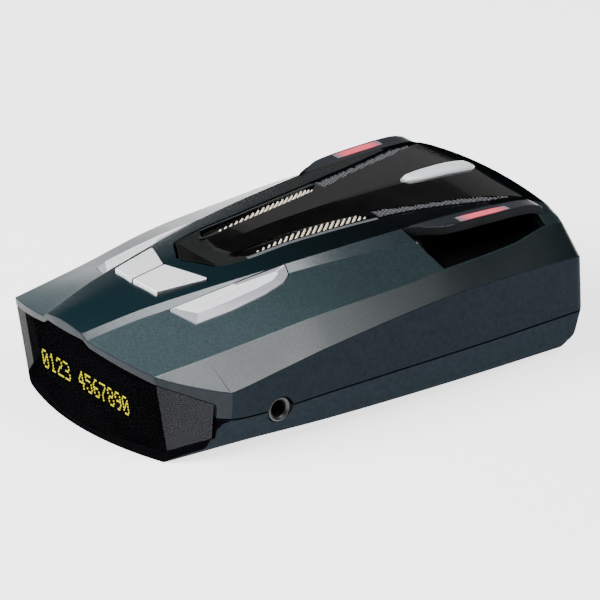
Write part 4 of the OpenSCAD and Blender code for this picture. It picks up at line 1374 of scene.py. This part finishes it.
put_shells()
put_display()
put_insert()
mesh_wire = satin("mesh_wire", tone(112, 114, 118), 0.35)
put_side(1, "right", mesh_wire)
put_side(-1, "left", mesh_wire)
eye_metal = satin("eye_metal", tone(240, 243, 247), 0.25)
settle(teardrop(), "eye_cover", "case", "silver", eye_metal, "laser_eye_cap")
put_keys(1, "imute", "city")
put_keys(-1, "mute", "dim")
settle(jack_barrel(), "inlet_barrel", "case", "black_plastic", black_plastic, "power_jack")


# ---- floor, light and camera

def floor():
    """Plain pale floor under the object."""
    bpy.ops.mesh.primitive_plane_add(size=6, location=(0, 0, 0))
    ground = bpy.context.object
    ground.name = "floor"
    ground.data.materials.append(floor_paper("floor_paper"))


def softbox(name, direction, distance, width, height, power):
    """A rectangular light aimed at the object's middle."""
    light = bpy.data.lights.new(name, "AREA")
    light.shape = "RECTANGLE"
    light.size, light.size_y = width, height
    light.energy = power
    lamp = bpy.data.objects.new(name, light)
    bpy.context.scene.collection.objects.link(lamp)
    away = Vector(direction).normalized()
    lamp.location = Vector((0, 0, 0.015)) + away * distance
    lamp.rotation_mode = "QUATERNION"
    lamp.rotation_quaternion = away.to_track_quat("Z", "Y")


def surroundings(low, high):
    """Even light that falls from low at the horizon to high overhead."""
    world = bpy.data.worlds.new("studio")
    world.use_nodes = True
    tree = world.node_tree
    sky = tree.nodes["Background"]
    split = tree.nodes.new("ShaderNodeSeparateXYZ")
    tree.links.new(tree.nodes.new("ShaderNodeTexCoord").outputs["Generated"], split.inputs["Vector"])
    tree.links.new(remap(tree, split.outputs["Z"], 0.0, 0.5, low, high), sky.inputs["Strength"])
    bpy.context.scene.world = world


CAMERA_TURN, CAMERA_LIFT = math.radians(53.57), math.radians(23.75)
CAMERA_AIM = Vector((8.284, -2.273, 18.081)) * MM
CAMERA_AWAY, CAMERA_LENS, CAMERA_SENSOR = 1.3, 390, 36


def camera():
    """Camera at the viewing angle of the main view."""
    eye = bpy.data.cameras.new("camera")
    eye.lens, eye.sensor_width = CAMERA_LENS, CAMERA_SENSOR
    eye.clip_start, eye.clip_end = 0.05, 20
    holder = bpy.data.objects.new("camera", eye)
    bpy.context.scene.collection.objects.link(holder)
    back = Vector((math.sin(CAMERA_TURN) * math.cos(CAMERA_LIFT),
                   -math.cos(CAMERA_TURN) * math.cos(CAMERA_LIFT), math.sin(CAMERA_LIFT)))
    holder.location = CAMERA_AIM + back * CAMERA_AWAY
    holder.rotation_mode = "QUATERNION"
    holder.rotation_quaternion = back.to_track_quat("Z", "Y")
    bpy.context.scene.camera = holder


floor()
surroundings(0.3, 0.1)
softbox("key", (0.54, 0.16, 0.82), 1.2, 0.42, 0.74, 11)
softbox("front", (-0.2, -0.75, 0.65), 1.6, 1.2, 0.9, 56)
softbox("card", (-0.8, 0.52, 0.3), 1.6, 1.2, 0.5, 0.35)
camera()
